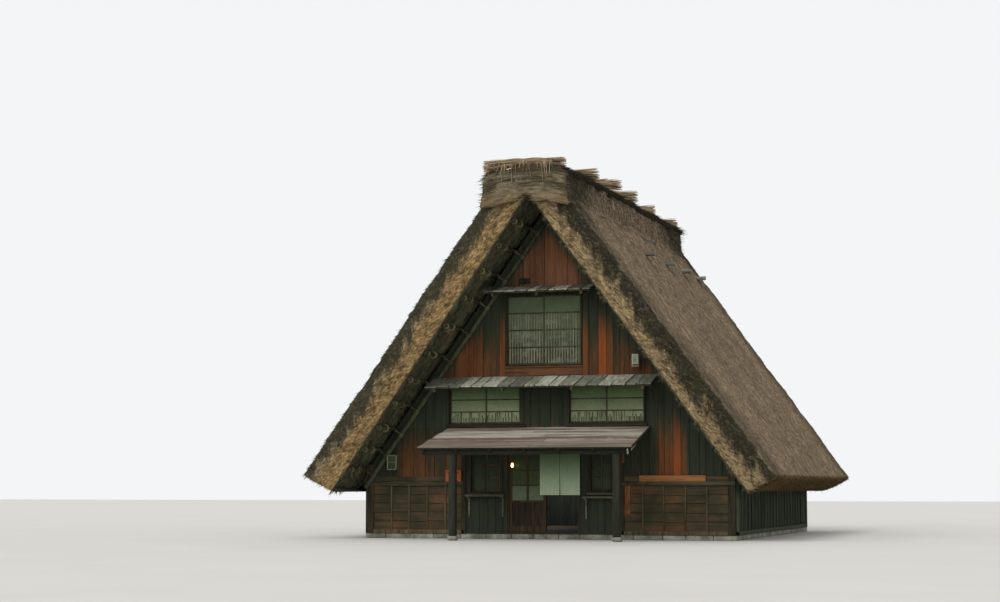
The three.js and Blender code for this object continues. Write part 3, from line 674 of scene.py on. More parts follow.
def porchRoofFinish(name):
    look = {
        "pale": rgb(178, 170, 158), "middle": rgb(134, 124, 110), "dark": rgb(80, 70, 60),
        "low": rgb(112, 98, 86), "lowStart": (1.2, 1.45),
        "rust": rgb(112, 74, 58), "rustLine": 1.12, "rustWidth": (0.03, 0.12),  # out from the wall
    }
    paint = Paint(name)
    mix, ease = paint.mix, paint.ease
    fibres = grainOf(paint, "X", 0.02)[0]
    down = wallFront - paint.y
    streaks = paint.noise(0.09, (0.045, 1, 1), 5, 0.8, shift=26.0)
    shade = ease(streaks * 0.7 + fibres * 0.2 + paint.tone() * 0.1, 0.38, 0.6)
    colour = paint.threeTones(shade, look)
    wander = (paint.noise(1.1, (1, 0.3, 0.3), 4, 0.75, shift=31.0) - 0.5) * 0.9
    colour = mix(ease(down + wander * 0.3, *look["lowStart"]) * 0.7, colour, look["low"])
    rust = 1 - ease(abs(down - look["rustLine"] - wander), *look["rustWidth"])
    runs = ease(paint.noise(0.09, (0.05, 1, 1), 4, 0.7, shift=41.0), 0.58, 0.7)
    rust = paint.most(rust, runs * 0.6)
    colour = mix(rust * 0.8, colour, look["rust"])
    return paint.finish(colour, 0.8, paint.bump(fibres, 0.5, 0.006))


def paneFinish(name, low, high, bottom, top, clouds=None):
    paint = Paint(name)
    # painted shade and reflection: the panes' colour runs from the low colour to the high colour up the
    # window
    rise = paint.ease(paint.z, bottom, top)
    wave = paint.noise(0.6, (1, 1, 1.6), 3, 0.6, shift=2.0)
    colour = paint.mix(rise, low, high)
    blotch = paint.noise(0.07, (1, 1, 1), 3, 0.65, shift=9.0)
    colour = brighter(paint, colour, 0.4 + wave * 0.7 + blotch * 0.5)
    if clouds:  # pale reflections in the lower rows
        cloudy = paint.ease(paint.noise(0.4, (1, 1, 1.3), 5, 0.75, shift=19.0), 0.48, 0.66)
        cloudy = cloudy * (1 - paint.ease(rise, 0.7, 0.82))
        colour = paint.mix(cloudy * 0.4, colour, clouds)
    return paint.finish(colour, 0.3, paint.bump(wave, 0.15, 0.02))


def stoneFinish(name):
    look = {"pale": rgb(162, 162, 150), "middle": rgb(120, 120, 108), "dark": rgb(74, 76, 66)}
    paint = Paint(name)
    grit = paint.noise(0.03, detail=5, rough=0.7)
    cloud = paint.noise(0.3, detail=4, rough=0.6, shift=7.0)
    shade = paint.ease(grit * 0.4 + cloud * 0.6, 0.3, 0.7)
    colour = paint.threeTones(shade, look)
    return paint.finish(colour, 0.9, paint.bump(grit * 0.5 + cloud * 0.5, 0.8, 0.02))


def clothFinish(name):
    look = {"pale": rgb(186, 202, 174), "dark": rgb(150, 170, 136), "paintedPorchShade": rgb(53, 80, 39), "weave": 0.004}
    paint = Paint(name)
    warp = paint.noise(look["weave"], (1, 1, 0.08), 2, 0.5)
    weft = paint.noise(look["weave"], (0.08, 1, 1), 2, 0.5, shift=4.0)
    weave = warp * 0.5 + weft * 0.5
    low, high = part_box("entrance_curtain")
    # painted shade from the porch roof: the cloth turns greener and darker towards the rod
    paintedPorchShade = paint.ease(paint.z, low.z, high.z)  # greener and darker towards the rod
    colour = paint.mix(paint.ease(weave, 0.35, 0.65), look["dark"], look["pale"])
    colour = paint.mix(paintedPorchShade * 0.9, colour, look["paintedPorchShade"])
    return paint.finish(colour, 0.9, paint.bump(weave, 0.4, 0.002), Sheen_Weight=0.3)


def enamelFinish(name, colour, worn, rough=0.45):
    paint = Paint(name)
    patches = paint.noise(0.09, detail=5, rough=0.7)
    scuffs = paint.ease(patches, 0.56, 0.68)
    mixed = paint.mix(scuffs, colour, worn)
    return paint.finish(mixed, rough + scuffs * 0.3, paint.bump(patches, 0.2, 0.003))


def ironFinish(name):
    look = {"dark": rgb(44, 44, 40), "rust": rgb(84, 58, 42)}
    paint = Paint(name)
    patches = paint.noise(0.05, detail=5, rough=0.7)
    rust = paint.ease(patches, 0.5, 0.66)
    return paint.finish(paint.mix(rust, look["dark"], look["rust"]), 0.55 + rust * 0.3,
                        paint.bump(patches, 0.4, 0.003), Metallic=0.4)


def bulbFinish(name):
    paint = Paint(name)
    glow = paint.noise(0.02, detail=2)
    colour = paint.mix(glow, rgb(255, 214, 150), rgb(255, 236, 200))
    return paint.finish(colour, 0.2, None, Emission_Color=rgb(255, 206, 130), Emission_Strength=6.0)


# Roof

def slab(side):  # one thatch slope with worn verges, before its surface is roughened
    bm = newMesh()
    verts = bmesh.ops.create_cube(bm, size=2)["verts"]
    eaveIn = Vector((eaveInX, 0, eaveInZ))
    thick = roof["thick"] + (roof["leftSwell"] if side < 0 else 0.0)
    eaveOut = eaveIn + outwards(1) * thick + downhill(1) * roof["flare"]
    reach = -roof["overMiddle"]
    outer = []
    for vert in verts:
        atEave, atBack, isOuter = vert.co.x > 0, vert.co.y > 0, vert.co.z > 0
        if atEave:
            place = (eaveOut if isOuter else eaveIn).copy()
        else:
            place = Vector((reach, 0, (ridgeOutZ if isOuter else ridgeInZ) - roof["rise"] * reach))
        place.y = vergeBackY if atBack else vergeY(place.z)
        place.x *= side
        vert.co = place
        if isOuter:
            outer.append(vert)
    arrises = [edge for edge in bm.edges if all(vert in outer for vert in edge.verts)]
    verges = [edge for edge in arrises if abs(edge.verts[0].co.x - edge.verts[1].co.x) > 1]
    bmesh.ops.bevel(bm, geom=verges, offset=roof["worn"], offset_type="OFFSET", segments=4,
                    profile=0.5, affect="EDGES", material=-1)
    cutAway(bm, (0, 0, ridgeCap["top"] - roof["underCap"]), (0, 0, 1))
    closeHoles(bm)
    bmesh.ops.recalc_face_normals(bm, faces=bm.faces[:])
    return bm


thatchStraws = {
    "slope": {"limit": 0.8, "spread": 0.12, "length": (0.05, 0.12), "width": 0.007, "density": 250},
    "verge": {"limit": 0.7, "spread": 0.28, "length": (0.06, 0.15), "width": 0.01, "density": 650},
    "eave": {"limit": 0.8, "spread": 0.2, "length": (0.02, 0.05), "width": 0.009, "density": 500},
    "fringe": {"limit": -2.0, "spread": 0.35, "length": (0.06, 0.19), "width": 0.009, "density": 1500},
    "under": {"limit": 0.9, "spread": 0.7, "length": (0.05, 0.2), "width": 0.011, "density": 32},
    "soffit": {"limit": -2.0, "spread": 0.6, "length": (0.05, 0.17), "width": 0.013, "density": 520},
}
looseStrips = {  # strips along the verge where straws hang loose: both edges behind it, and depth
    "fringe": (0.015, 0.1, -0.015), "soffit": (0.12, 0.85, -0.005),
}


def vergeStrip(side, inner, outer, depth):
    mesh = newMesh()
    steps = 60
    rows = []
    for i in range(steps + 1):
        up = roof["verge"] * i / steps
        y = vergeY(onSlope(side, up, 0, 0).z)
        rows.append([mesh.verts.new(onSlope(side, up, y + shift, depth)) for shift in (inner, outer)])
    for lower, upper in zip(rows, rows[1:]):
        mesh.faces.new((lower[0], lower[1], upper[1], upper[0]))
    return makeMesh("vergeStrip", mesh)


def buildThatch():
    finish = thatchFinish("oldThatch")
    strawLook = thatchFinish("oldThatchStraw", straws=True)
    for seed, (name, side) in enumerate((("left", -1), ("right", 1))):
        mesh = remeshed("thatch", slab(side), roof["voxel"])
        roughen(mesh, roof["waves"], seed + 1)
        makePiece(f"thatchSlope_{name}", mesh, finish, [f"thatch_{name}"], smooth=True)
        fringe, soffit = [vergeStrip(side, *looseStrips[kind]) for kind in ("fringe", "soffit")]
        ways = {
            "slope": (mesh, outwards(side), downhill(side) + outwards(side) * 0.1),
            "verge": (mesh, (0, -1, 0), Vector((side * 0.82, -0.3, -0.57))),
            "eave": (mesh, downhill(side), downhill(side)),
            "fringe": (fringe, (0, 0, 1), Vector((side * 0.45, -0.1, -1))),
            "under": (mesh, -outwards(side), downhill(side) - outwards(side) * 0.5),
            "soffit": (soffit, (0, 0, 1), Vector((side * 0.5, -0.25, -1))),
        }
        for kind, (surface, facing, direction) in ways.items():
            straw = dict(thatchStraws[kind], facing=facing, direction=direction, seed=seed * 10 + len(kind))
            strew(f"{kind}Straw_{name}", surface, straw, strawLook)
        straw = dict(thatchStraws["verge"], facing=(0, 1, 0), direction=Vector((side * 0.82, 0.3, -0.57)),
                     density=300, seed=seed + 50)
        strew(f"backVergeStraw_{name}", mesh, straw, strawLook)
        bpy.data.meshes.remove(fringe)
        bpy.data.meshes.remove(soffit)
    print("thatch made")


ridgeCap = {
    # X and Z of its right side from the foot to the top, and of the lower edge of its ends from left to right
    "side": [(1.2, 8.02), (1.11, 8.16), (1.08, 8.45), (1.06, 8.75), (0.97, 8.92), (0.6, 8.98)],
    "under": [(-0.64, 8.08), (-0.24, 8.17), (-0.19, 8.26), (0.0, 8.33),
              (0.17, 8.26), (0.24, 8.12), (0.57, 8.15)],
    "foot": 8.1, "top": 9.0, "voxel": 0.05,
    # its front end: the right side is narrower there and the left of its top is worn away
    "narrow": 0.09, "narrowLength": 1.6, "wornTop": 0.08, "wornLength": 0.9, "wornFrom": 8.5,
    "wornRise": 0.4, "wornAside": (0.1, 0.3),  # the wear starts this far left of the middle, over a width
    "waves": [((1.4, 0.8, 1.0), 0.04), ((0.5, 0.3, 0.12), 0.024), ((0.2, 0.2, 0.05), 0.014)],
}
capStraws = {"limit": 0.7, "spread": 0.1, "length": (0.06, 0.2), "width": 0.009, "density": 520}
capSideStraws = dict(capStraws, length=(0.05, 0.1), width=0.007, density=260)
ridgeStraws = dict(capStraws, limit=0.55, spread=0.3, length=(0.1, 0.32), width=0.012, density=500)


def capStrip(mesh, side, least, bottom):  # the outer part of the cap on one side, above a height
    bm = bmesh.new()
    bm.from_mesh(mesh)
    away = []
    for face in bm.faces:
        middle = face.calc_center_median()
        if middle.x * side < least or middle.z <= bottom:
            away.append(face)
    bmesh.ops.delete(bm, geom=away, context="FACES")
    return makeMesh("capStrip", bm)


def capMesh():
    low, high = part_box("ridge_cap")
    side = ridgeCap["side"]
    mirrored = [(-x, z) for x, z in reversed(side)]
    outline = [*side, (0, ridgeCap["top"]), *mirrored, (-1.1, 8.0), *ridgeCap["under"], (1.1, 8.0)]
    bm = newMesh()
    verts = [bm.verts.new((x, low.y, z)) for x, z in outline]
    face = bm.faces.new(verts)
    made = bmesh.ops.extrude_face_region(bm, geom=[face])
    moved = [item for item in made["geom"] if isinstance(item, bmesh.types.BMVert)]
    bmesh.ops.translate(bm, vec=(0, high.y - low.y, 0), verts=moved)
    bmesh.ops.recalc_face_normals(bm, faces=bm.faces[:])
    mesh = remeshed("cap", bm, ridgeCap["voxel"])
    for vert in mesh.vertices:
        place = vert.co
        near = max(0, 1 - (place.y - low.y) / ridgeCap["narrowLength"])
        if place.x > 0:
            place.x *= 1 - ridgeCap["narrow"] * near
        near = max(0, 1 - (place.y - low.y) / ridgeCap["wornLength"])
        start, width = ridgeCap["wornAside"]
        aside = max(0, min(1, (-place.x - start) / width))
        upper = max(0, min(1, (place.z - ridgeCap["wornFrom"]) / ridgeCap["wornRise"]))
        place.z -= ridgeCap["wornTop"] * near * aside * upper
    roughen(mesh, ridgeCap["waves"], 5)
    return mesh


def strewCap(mesh):
    strawLook = ridgeCapFinish("capStraw", straws=True)
    wispLook = strawFinish("ridgeStraw", rgb(112, 97, 74), rgb(44, 39, 30))
    ways = (("left", -1), ("right", 1))
    for end, facing in (("front", -1), ("back", 1)):
        for way, across in ways:
            straw = dict(capStraws, facing=(0, facing, 0), direction=Vector((across, facing * 0.05, -0.12)),
                         seed=70 + facing + across * 3)
            strew(f"capStraw_{end}_{way}", mesh, straw, strawLook)
    for way, across in ways:
        straw = dict(capSideStraws, facing=(across, 0, 0.2), direction=Vector((across * 0.35, 0.45, -1)),
                     seed=90 + across)
        strew(f"capSideStraw_{way}", mesh, straw, strawLook)
        straw = dict(ridgeStraws, facing=(across * 0.2, 0, 0.98),
                     direction=Vector((across * 1.1, 0.25, -0.35)), seed=100 + across)
        strip = capStrip(mesh, across, 0.55, ridgeCap["top"] - 0.3)  # straw hangs over the upper edge here
        strew(f"ridgeStraw_{way}", strip, straw, wispLook)
        bpy.data.meshes.remove(strip)


def buildRidgeCap():
    mesh = capMesh()
    makePiece("ridgeCap", mesh, ridgeCapFinish("capThatch"), ["ridge_cap"], smooth=True)
    strewCap(mesh)
    print("ridge cap made")


strawRoll = {
    "radius": 0.11, "core": 0.7, "straws": 260, "straw": (0.012, 0.005), "splay": 0.2, "droop": 0.08,
    "strawLength": (0.25, 0.7), "strawStart": (0.3, 0.7),  # it starts at this share of half the roll
    "ties": (-0.62, 0.0, 0.62), "cord": 0.014, "tied": 0.82, "swell": 0.2, "swellWidth": 0.22,
    "askew": 4, "sunk": 0.012,
}


def rollMesh(rng, half):  # one roll of straw along X, tied three times, with loose ends
    bm = newMesh()
    bmesh.ops.create_cone(
        bm, cap_ends=True, segments=14, radius1=strawRoll["radius"], radius2=strawRoll["radius"],
        depth=half * 2 * strawRoll["core"], matrix=Matrix.Rotation(math.pi / 2, 4, "Y"))
    lengthwise = [edge for edge in bm.edges if edge.calc_length() > half]
    bmesh.ops.subdivide_edges(bm, edges=lengthwise, cuts=24)
    for vert in bm.verts:
        pinch = min(abs(vert.co.x - tie) for tie in strawRoll["ties"])
        swell = strawRoll["tied"] + strawRoll["swell"] * min(1, pinch / strawRoll["swellWidth"])
        vert.co.y *= swell
        vert.co.z *= swell
    setTone(bm, bm.verts, 0.4)
    for _ in range(strawRoll["straws"]):
        angle = rng.uniform(0, 2 * math.pi)
        share = rng.uniform(0.25, 1)
        end = rng.choice((-1, 1))
        length = rng.uniform(*strawRoll["strawLength"])
        start = half * rng.uniform(*strawRoll["strawStart"])
        splay = strawRoll["splay"] * share
        aside, up = math.cos(angle), math.sin(angle)
        heading = Vector((end, aside * splay, up * splay * 0.8)).normalized()
        root = Vector((end * start, aside * strawRoll["radius"] * share, up * strawRoll["radius"] * share))
        length = min(length, (half - start) / abs(heading.x))
        turn = heading.to_track_quat("Z", "Y").to_matrix().to_4x4()
        thick, thin = strawRoll["straw"]
        made = bmesh.ops.create_cone(bm, cap_ends=True, segments=3, radius1=thick, radius2=thin, depth=length,
                                     matrix=Matrix.Translation(root + heading * length / 2) @ turn)
        setTone(bm, made["verts"], rng.random())
    for vert in bm.verts:
        vert.co.z -= strawRoll["droop"] * (vert.co.x / half) ** 2
    return makeMesh("roll", bm)


hanging = {  # what hangs under the front roll
    # cords: X, length, thickness, how far aside the end is
    "cords": [
        (-0.34, 0.45, 0.014, 0.02), (-0.24, 0.62, 0.008, 0.05), (0.42, 0.7, 0.01, 0.06),
        (0.62, 0.34, 0.012, 0.0), (-0.62, 0.55, 0.009, 0.06), (-0.02, 0.3, 0.007, -0.05),
    ],
    "loops": (-0.6, -0.42), "loop": 0.08, "loopCord": 0.018,
    "wisps": 46, "wispPlaces": (-0.98, 0.7), "wispLength": (0.08, 0.36), "wisp": (0.005, 0.012),
}


def buildHangings(rng, straw, rope):
    height = ridgeCap["top"] + 0.02
    cords, wisps = newMesh(), newMesh()
    for x, length, thick, aside in hanging["cords"]:
        y = capFront - 0.03
        end = (x + aside, y - 0.02, height - length)
        addPole(cords, (x, y, height), end, thick, 0.9, bend=0.02, steps=6, sides=6)
    for x in hanging["loops"]:
        place = Matrix.Translation((x, capFront + 0.02, height - 0.08)) @ Matrix.Rotation(math.pi / 2, 4, "X")
        addRing(cords, place, hanging["loop"], hanging["loopCord"], 0.7, (1.2, 1, 1))
    for _ in range(hanging["wisps"]):
        x = rng.uniform(*hanging["wispPlaces"])
        length = rng.uniform(*hanging["wispLength"])
        y = capFront + rng.uniform(-0.05, 0.02)
        end = (x + rng.uniform(-0.1, 0.1), y - rng.uniform(0.0, 0.04), height - length)
        addPole(wisps, (x, y, height + 0.04), end, rng.uniform(*hanging["wisp"]), rng.random(),
                bend=0.03, steps=4, sides=5, taper=0.3)
    makePiece("hangingCords", cords, rope, smooth=True)
    makePiece("hangingWisps", wisps, straw, smooth=True)


def buildRolls():
    rng = random.Random(11)
    straw = strawFinish("freshStraw", rgb(174, 152, 122), rgb(84, 70, 53))
    rope = ropeFinish("strawRope", rgb(160, 150, 120), rgb(72, 64, 48))
    for number in range(1, 7):
        low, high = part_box(f"ridge_bundle_{number}")
        height = high.z - strawRoll["radius"] - strawRoll["sunk"]
        askew = rng.uniform(-strawRoll["askew"], strawRoll["askew"])
        turn = Matrix.Rotation(math.radians(askew), 4, "Z")
        place = Matrix.Translation(((low.x + high.x) / 2, (low.y + high.y) / 2, height)) @ turn
        roll = rollMesh(rng, (high.x - low.x) / 2 - 0.01)
        roll.transform(place)
        makePiece(f"strawRoll_{number}", roll, straw, [f"ridge_bundle_{number}"])
        ties = newMesh()
        for tie in strawRoll["ties"]:
            at = place @ Matrix.Translation((tie, 0, -0.02)) @ Matrix.Rotation(math.pi / 2, 4, "Y")
            addRing(ties, at, strawRoll["radius"] * 0.86, strawRoll["cord"], stretch=(1.0, 1.0, 1.6))
        makePiece(f"rollTies_{number}", ties, rope, smooth=True)
    buildHangings(rng, straw, rope)
    print("straw rolls made")


def buildTieRods():
    look = timberFinish("rodWood", "X", rgb(150, 150, 142), rgb(84, 84, 76))
    for number in range(1, 5):
        low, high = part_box(f"ridge_tie_rod_{number}")
        bm = newMesh()
        middle = (low + high) / 2
        start, end = (low.x, middle.y, middle.z), (high.x, middle.y, middle.z)
        addPole(bm, start, end, (high.z - low.z) / 2 + 0.012, bend=0.0, steps=1, taper=1.0, sides=14)
        makePiece(f"tieRod_{number}", bm, look, [f"ridge_tie_rod_{number}"])
    print("tie rods made")


poles = {
    "purlins": (0.08, 0.7, 1.32, 1.98, 2.7, 3.42, 4.2, 5.03, 5.85, 6.65, 7.4, 8.1),  # up the slope
    "purlinRadius": 0.05, "purlinDepth": 0.055, "purlinBack": 0.07, "untied": 0.3,
    "outerDepth": {-1: 0.33, 1: 0.165},  # of the poles outside the gable walls, left and right
    "rafterRadius": 0.06, "rafterDepth": 0.165, "rafterCount": 9, "rafterFoot": 0.35, "rafterTop": 8.45,
    "beyondWall": 0.08, "insideWall": 0.26,  # where the end ones stand
    # loops of rope round each purlin: how far behind the verge, and their radius
    "loops": {-1: ((0.16, 0.055), (0.56, 0.074), (0.64, 0.068)), 1: ((0.52, 0.06), (0.6, 0.056))},
    "cord": 0.021, "loose": 26, "straw": 0.008, "strand": 0.011, "turn": 0.064,
}


def rafterPlaces():
    inset = poles["insideWall"]
    inside = evenly(wallFront + inset, wallBack - inset, poles["rafterCount"])
    return [wallFront - poles["beyondWall"], *inside, wallBack + poles["beyondWall"]]


def addLoops(bm, side, up, front, back, rng):  # rope round a purlin near both of its ends
    for gap, ring in poles["loops"][side]:
        for y in (front + gap, back - gap):
            middle = onSlope(side, up, y + rng.uniform(-0.02, 0.02), poles["purlinDepth"] + 0.01)
            turn = Matrix.Rotation(math.pi / 2 + rng.uniform(-0.4, 0.4), 4, "X")
            addRing(bm, Matrix.Translation(middle) @ turn, ring * rng.uniform(0.88, 1.08),
                    poles["cord"] * rng.uniform(0.7, 1.1), rng.random(), (1, rng.uniform(0.9, 1.2), 1.0))


def addLooseEnds(bm, side, up, front, back, rng):  # straw that hangs beside the loops
    for _ in range(poles["loose"]):
        for y, inwards in ((front, 1), (back, -1)):
            above = up + rng.uniform(-0.08, 0.08)
            first = onSlope(side, above, y + (0.2 + rng.random() * 0.4) * inwards, 0.03)
            fall = (rng.uniform(-0.09, 0.09), rng.uniform(-0.12, 0.06), -rng.uniform(0.08, 0.2))
            addPole(bm, first, first + Vector(fall), poles["straw"], rng.random(),
                    bend=0.012, steps=2, sides=4, taper=0.4)


def tieToOuterPole(bm, side, up, y, rng):  # two strands down to the pole, and a turn round it
    outer = poles["outerDepth"][side]
    for offset in (-0.04, 0.04):
        first = onSlope(side, up - offset, y + offset, poles["purlinDepth"])
        last = onSlope(side, up + offset, y - offset, outer + 0.03)
        addPole(bm, first, last, poles["strand"], rng.random() * 0.5, bend=0.01, steps=3, sides=6, taper=1.0)
        at = Matrix.Translation(onSlope(side, up + offset * 0.6, y, outer))
        turn = Matrix.Rotation(side * slopeAngle + math.pi / 2 + rng.uniform(-0.15, 0.15), 4, "Y")
        addRing(bm, at @ turn, poles["turn"], poles["strand"], rng.random() * 0.6)


def buildRoofPoles():
    wood = timberFinish("poleWood", "Y", rgb(70, 72, 55), rgb(38, 41, 32))
    rafterWood = timberFinish("rafterWood", "Z", rgb(84, 87, 67), rgb(46, 51, 39), 0.6)
    rope = ropeFinish("lashingRope", rgb(134, 126, 92), rgb(68, 66, 47))
    places = rafterPlaces()
    outermost = (places[0], places[-1])
    for name, side in (("left", -1), ("right", 1)):
        rng = random.Random(20 + side)
        purlins, rafters, lashings = newMesh(), newMesh(), newMesh()
        for up in poles["purlins"]:
            front = vergeY(onSlope(side, up, 0, 0).z) + poles["purlinBack"]
            back = vergeBackY - poles["purlinBack"]
            start = onSlope(side, up, front, poles["purlinDepth"])
            end = onSlope(side, up, back, poles["purlinDepth"])
            addPole(purlins, start, end, poles["purlinRadius"], rng.random(),
                    bend=0.012, steps=10, taper=0.92)
            if up < poles["untied"]:  # the lowest purlin is nailed
                continue
            addLoops(lashings, side, up, front, back, rng)
            addLooseEnds(lashings, side, up, front, back, rng)
            for y in outermost:
                tieToOuterPole(lashings, side, up, y, rng)
        for i, y in enumerate(places):
            depth = poles["outerDepth"][side] if y in outermost else poles["rafterDepth"]
            start = onSlope(side, poles["rafterFoot"], y, depth)
            end = onSlope(side, poles["rafterTop"], y, depth)
            tone = 0.7 if i == 0 else rng.random() * 0.6
            addPole(rafters, start, end, poles["rafterRadius"], tone, bend=0.02, steps=8, sides=12)
        makePiece(f"roofPurlins_{name}", purlins, wood, [f"roof_frame_{name}"], smooth=True)
        makePiece(f"roofRafters_{name}", rafters, rafterWood, smooth=True)
        makePiece(f"roofLashings_{name}", lashings, rope, smooth=True)
    print("roof poles made")


# Walls. A wall place is (u along the wall, z up, d outwards), and a hole is (left, right, bottom, top).

def onWall(wall, u, z, d):
    return Vector({
        "front": (u, wallFront - d, z), "back": (u, wallBack + d, z),
        "right": (wallSide + d, u, z), "left": (-wallSide - d, u, z),
    }[wall])


def wallBlock(bm, wall, start, end, tone=0.5, chamfer=0.0, turn=None):
    first, last = onWall(wall, *start), onWall(wall, *end)
    low = [min(pair) for pair in zip(first, last)]
    high = [max(pair) for pair in zip(first, last)]
    return addBlock(bm, low, high, tone, chamfer, turn)


def edgesAlong(start, finish, width, jitter, rng, fixed=()):  # board edges, with the fixed ones among them
    count = max(1, round((finish - start) / width))
    edges = [start + (finish - start) * i / count for i in range(count + 1)]
    edges = [edge + (rng.uniform(-jitter, jitter) if 0 < i < count else 0) for i, edge in enumerate(edges)]
    for place in fixed:
        if start < place < finish:
            near = min(range(1, max(2, len(edges) - 1)), key=lambda i: abs(edges[i] - place))
            if abs(edges[near] - place) < width * 0.5 and 0 < near < len(edges) - 1:
                edges[near] = place
            else:
                edges.append(place)
    return sorted(set(edges))


def clad(bm, wall, zone, boards, rng, holes=()):
    # boards: along "z" or "u", width, jitter, proud (least, most), gap, fixed edges, places with a tone
    upright = boards["along"] == "z"
    across, along = (zone[:2], zone[2:]) if upright else (zone[2:], zone[:2])
    spans = [(hole[:2], hole[2:]) if upright else (hole[2:], hole[:2]) for hole in holes]
    fixed = [edge for sides, ends in spans for edge in sides] + list(boards.get("edges", ()))
    edges = edgesAlong(*across, boards["width"], boards["jitter"], rng, fixed)
    for low, high in zip(edges, edges[1:]):
        runs = [along]
        for sides, (foot, head) in spans:
            if sides[0] < (low + high) / 2 < sides[1]:  # a hole splits the board
                runs = [run for start, finish in runs
                        for run in ((start, min(finish, foot)), (max(start, head), finish))]
                runs = [run for run in runs if run[1] - run[0] > 0.02]
        tone = rng.uniform(0, 0.9)
        proud = rng.uniform(*boards["proud"])
        for place, own in boards.get("tones", ()):
            if low < place < high:
                tone = own
        gap = boards["gap"] * rng.uniform(0.6, 1.6) / 2
        for start, finish in runs:
            first, last = (low + gap, start), (high - gap, finish)
            if not upright:
                first, last = first[::-1], last[::-1]
            wallBlock(bm, wall, (*first, 0.001), (*last, proud), tone, 0.003)


def addUpright(bm, wall, u, width, heights, proud, tone, chamfer):  # a batten or post on a wall
    bottom, top = heights
    wallBlock(bm, wall, (u - width / 2, bottom, 0.0), (u + width / 2, top, proud), tone, chamfer)


def underRoof(bm, depth):  # cuts away what would stand in the thatch
    for side in (-1, 1):
        cutAway(bm, onSlope(side, 0, 0, depth), outwards(side))
    closeHoles(bm)


def nodeHole(node):
    low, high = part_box(node)
    return low.x, high.x, low.z, high.z


gableBoards = {"along": "z", "width": 0.27, "jitter": 0.035, "proud": (0.014, 0.03), "gap": 0.008}
upperBoards = dict(
    gableBoards, edges=(1.11, 1.34, 1.55, 1.88, -1.2),
    tones=((1.03, 0.9), (1.2, 0.3), (1.43, 1.0), (1.7, 0.86), (-1.1, 0.9)))
rightBoards = dict(gableBoards, width=0.2, tones=((2.88, 0.8), (3.06, 0.7), (3.23, 0.97)))
porchBoards = dict(gableBoards, width=0.2)
lapBoards = {"along": "u", "width": 0.235, "jitter": 0.02, "proud": (0.012, 0.02), "gap": 0.012}
sideBoards = {"along": "z", "width": 0.24, "jitter": 0.02, "proud": (0.01, 0.02), "gap": 0.01}
levels = {
    "upperRoof": 6.18, "middleRoof": 3.97, "porchTop": 2.66, "aboveBays": 2.6, "belt": 1.41, "beltFoot": 1.31,
    "panelFoot": footingTop + 0.09, "battenFoot": footingTop + 0.06, "baseTop": footingTop + 0.1,
}
notch = (-0.69, -0.4, 6.29, 6.44)  # a small opening over the upper board roof
bays = {  # the panels run from the corners to the left and right edges of the porch's bay
    "corner": 4.52, "left": -2.13, "right": 1.91, "count": 5,
    "beside": 2.6, "end": 4.6,  # where the boards over them start and end
}
battenSizes = {"front": (0.038, 0.04), "back": (0.044, 0.045), "side": (0.044, 0.04)}  # width and depth
underThatch = 0.12  # wall boards end this far inside the thatch
stainedPlank = {
    "zone": (1.85, 2.12, 0.62, levels["beltFoot"]), "label": ((1.92, 1.86, 0.05), (1.99, 2.1, 0.062)),
    "boards": dict(gableBoards, width=0.11, proud=(0.03, 0.034), jitter=0.0),
}
posts = (  # each post's middle, width and top
    (-4.61, 0.18, 1.84), (4.61, 0.18, 1.84), (bays["left"], 0.12, 2.6), (bays["right"], 0.12, 2.6),
)


def gableCladding(bm, wall, rng, holes):
    clad(bm, wall, (-1.6, 1.6, levels["upperRoof"], ridgeInZ), gableBoards, rng, holes)
    clad(bm, wall, (-3.2, 3.2, levels["middleRoof"], levels["upperRoof"]), upperBoards, rng, holes)


def buildFrontCladding(rng):
    windows = [nodeHole(f"window_{name}") for name in
               ("third", "second_left", "second_right", "ground_left", "ground_right")]
    windows += [nodeHole("entrance_frame"), notch]
    beside, end = bays["beside"], bays["end"]
    bm = newMesh()
    gableCladding(bm, "front", rng, windows)
    clad(bm, "front", (-beside, beside, levels["aboveBays"], levels["middleRoof"]), gableBoards, rng, windows)
    clad(bm, "front", (-end, -beside, levels["belt"], levels["middleRoof"]), gableBoards, rng)
    clad(bm, "front", (beside, end, levels["belt"], levels["middleRoof"]), rightBoards, rng)
    clad(bm, "front", (-beside, bays["left"], levels["belt"], levels["porchTop"]), gableBoards, rng)
    clad(bm, "front", (bays["right"], beside, levels["belt"], levels["porchTop"]), gableBoards, rng)
    clad(bm, "front", (bays["left"], bays["right"], footingTop, levels["porchTop"]), porchBoards, rng,
         windows)
    underRoof(bm, underThatch)
    makePiece("frontBoards", bm, gableBoardFinish("gableBoards"))


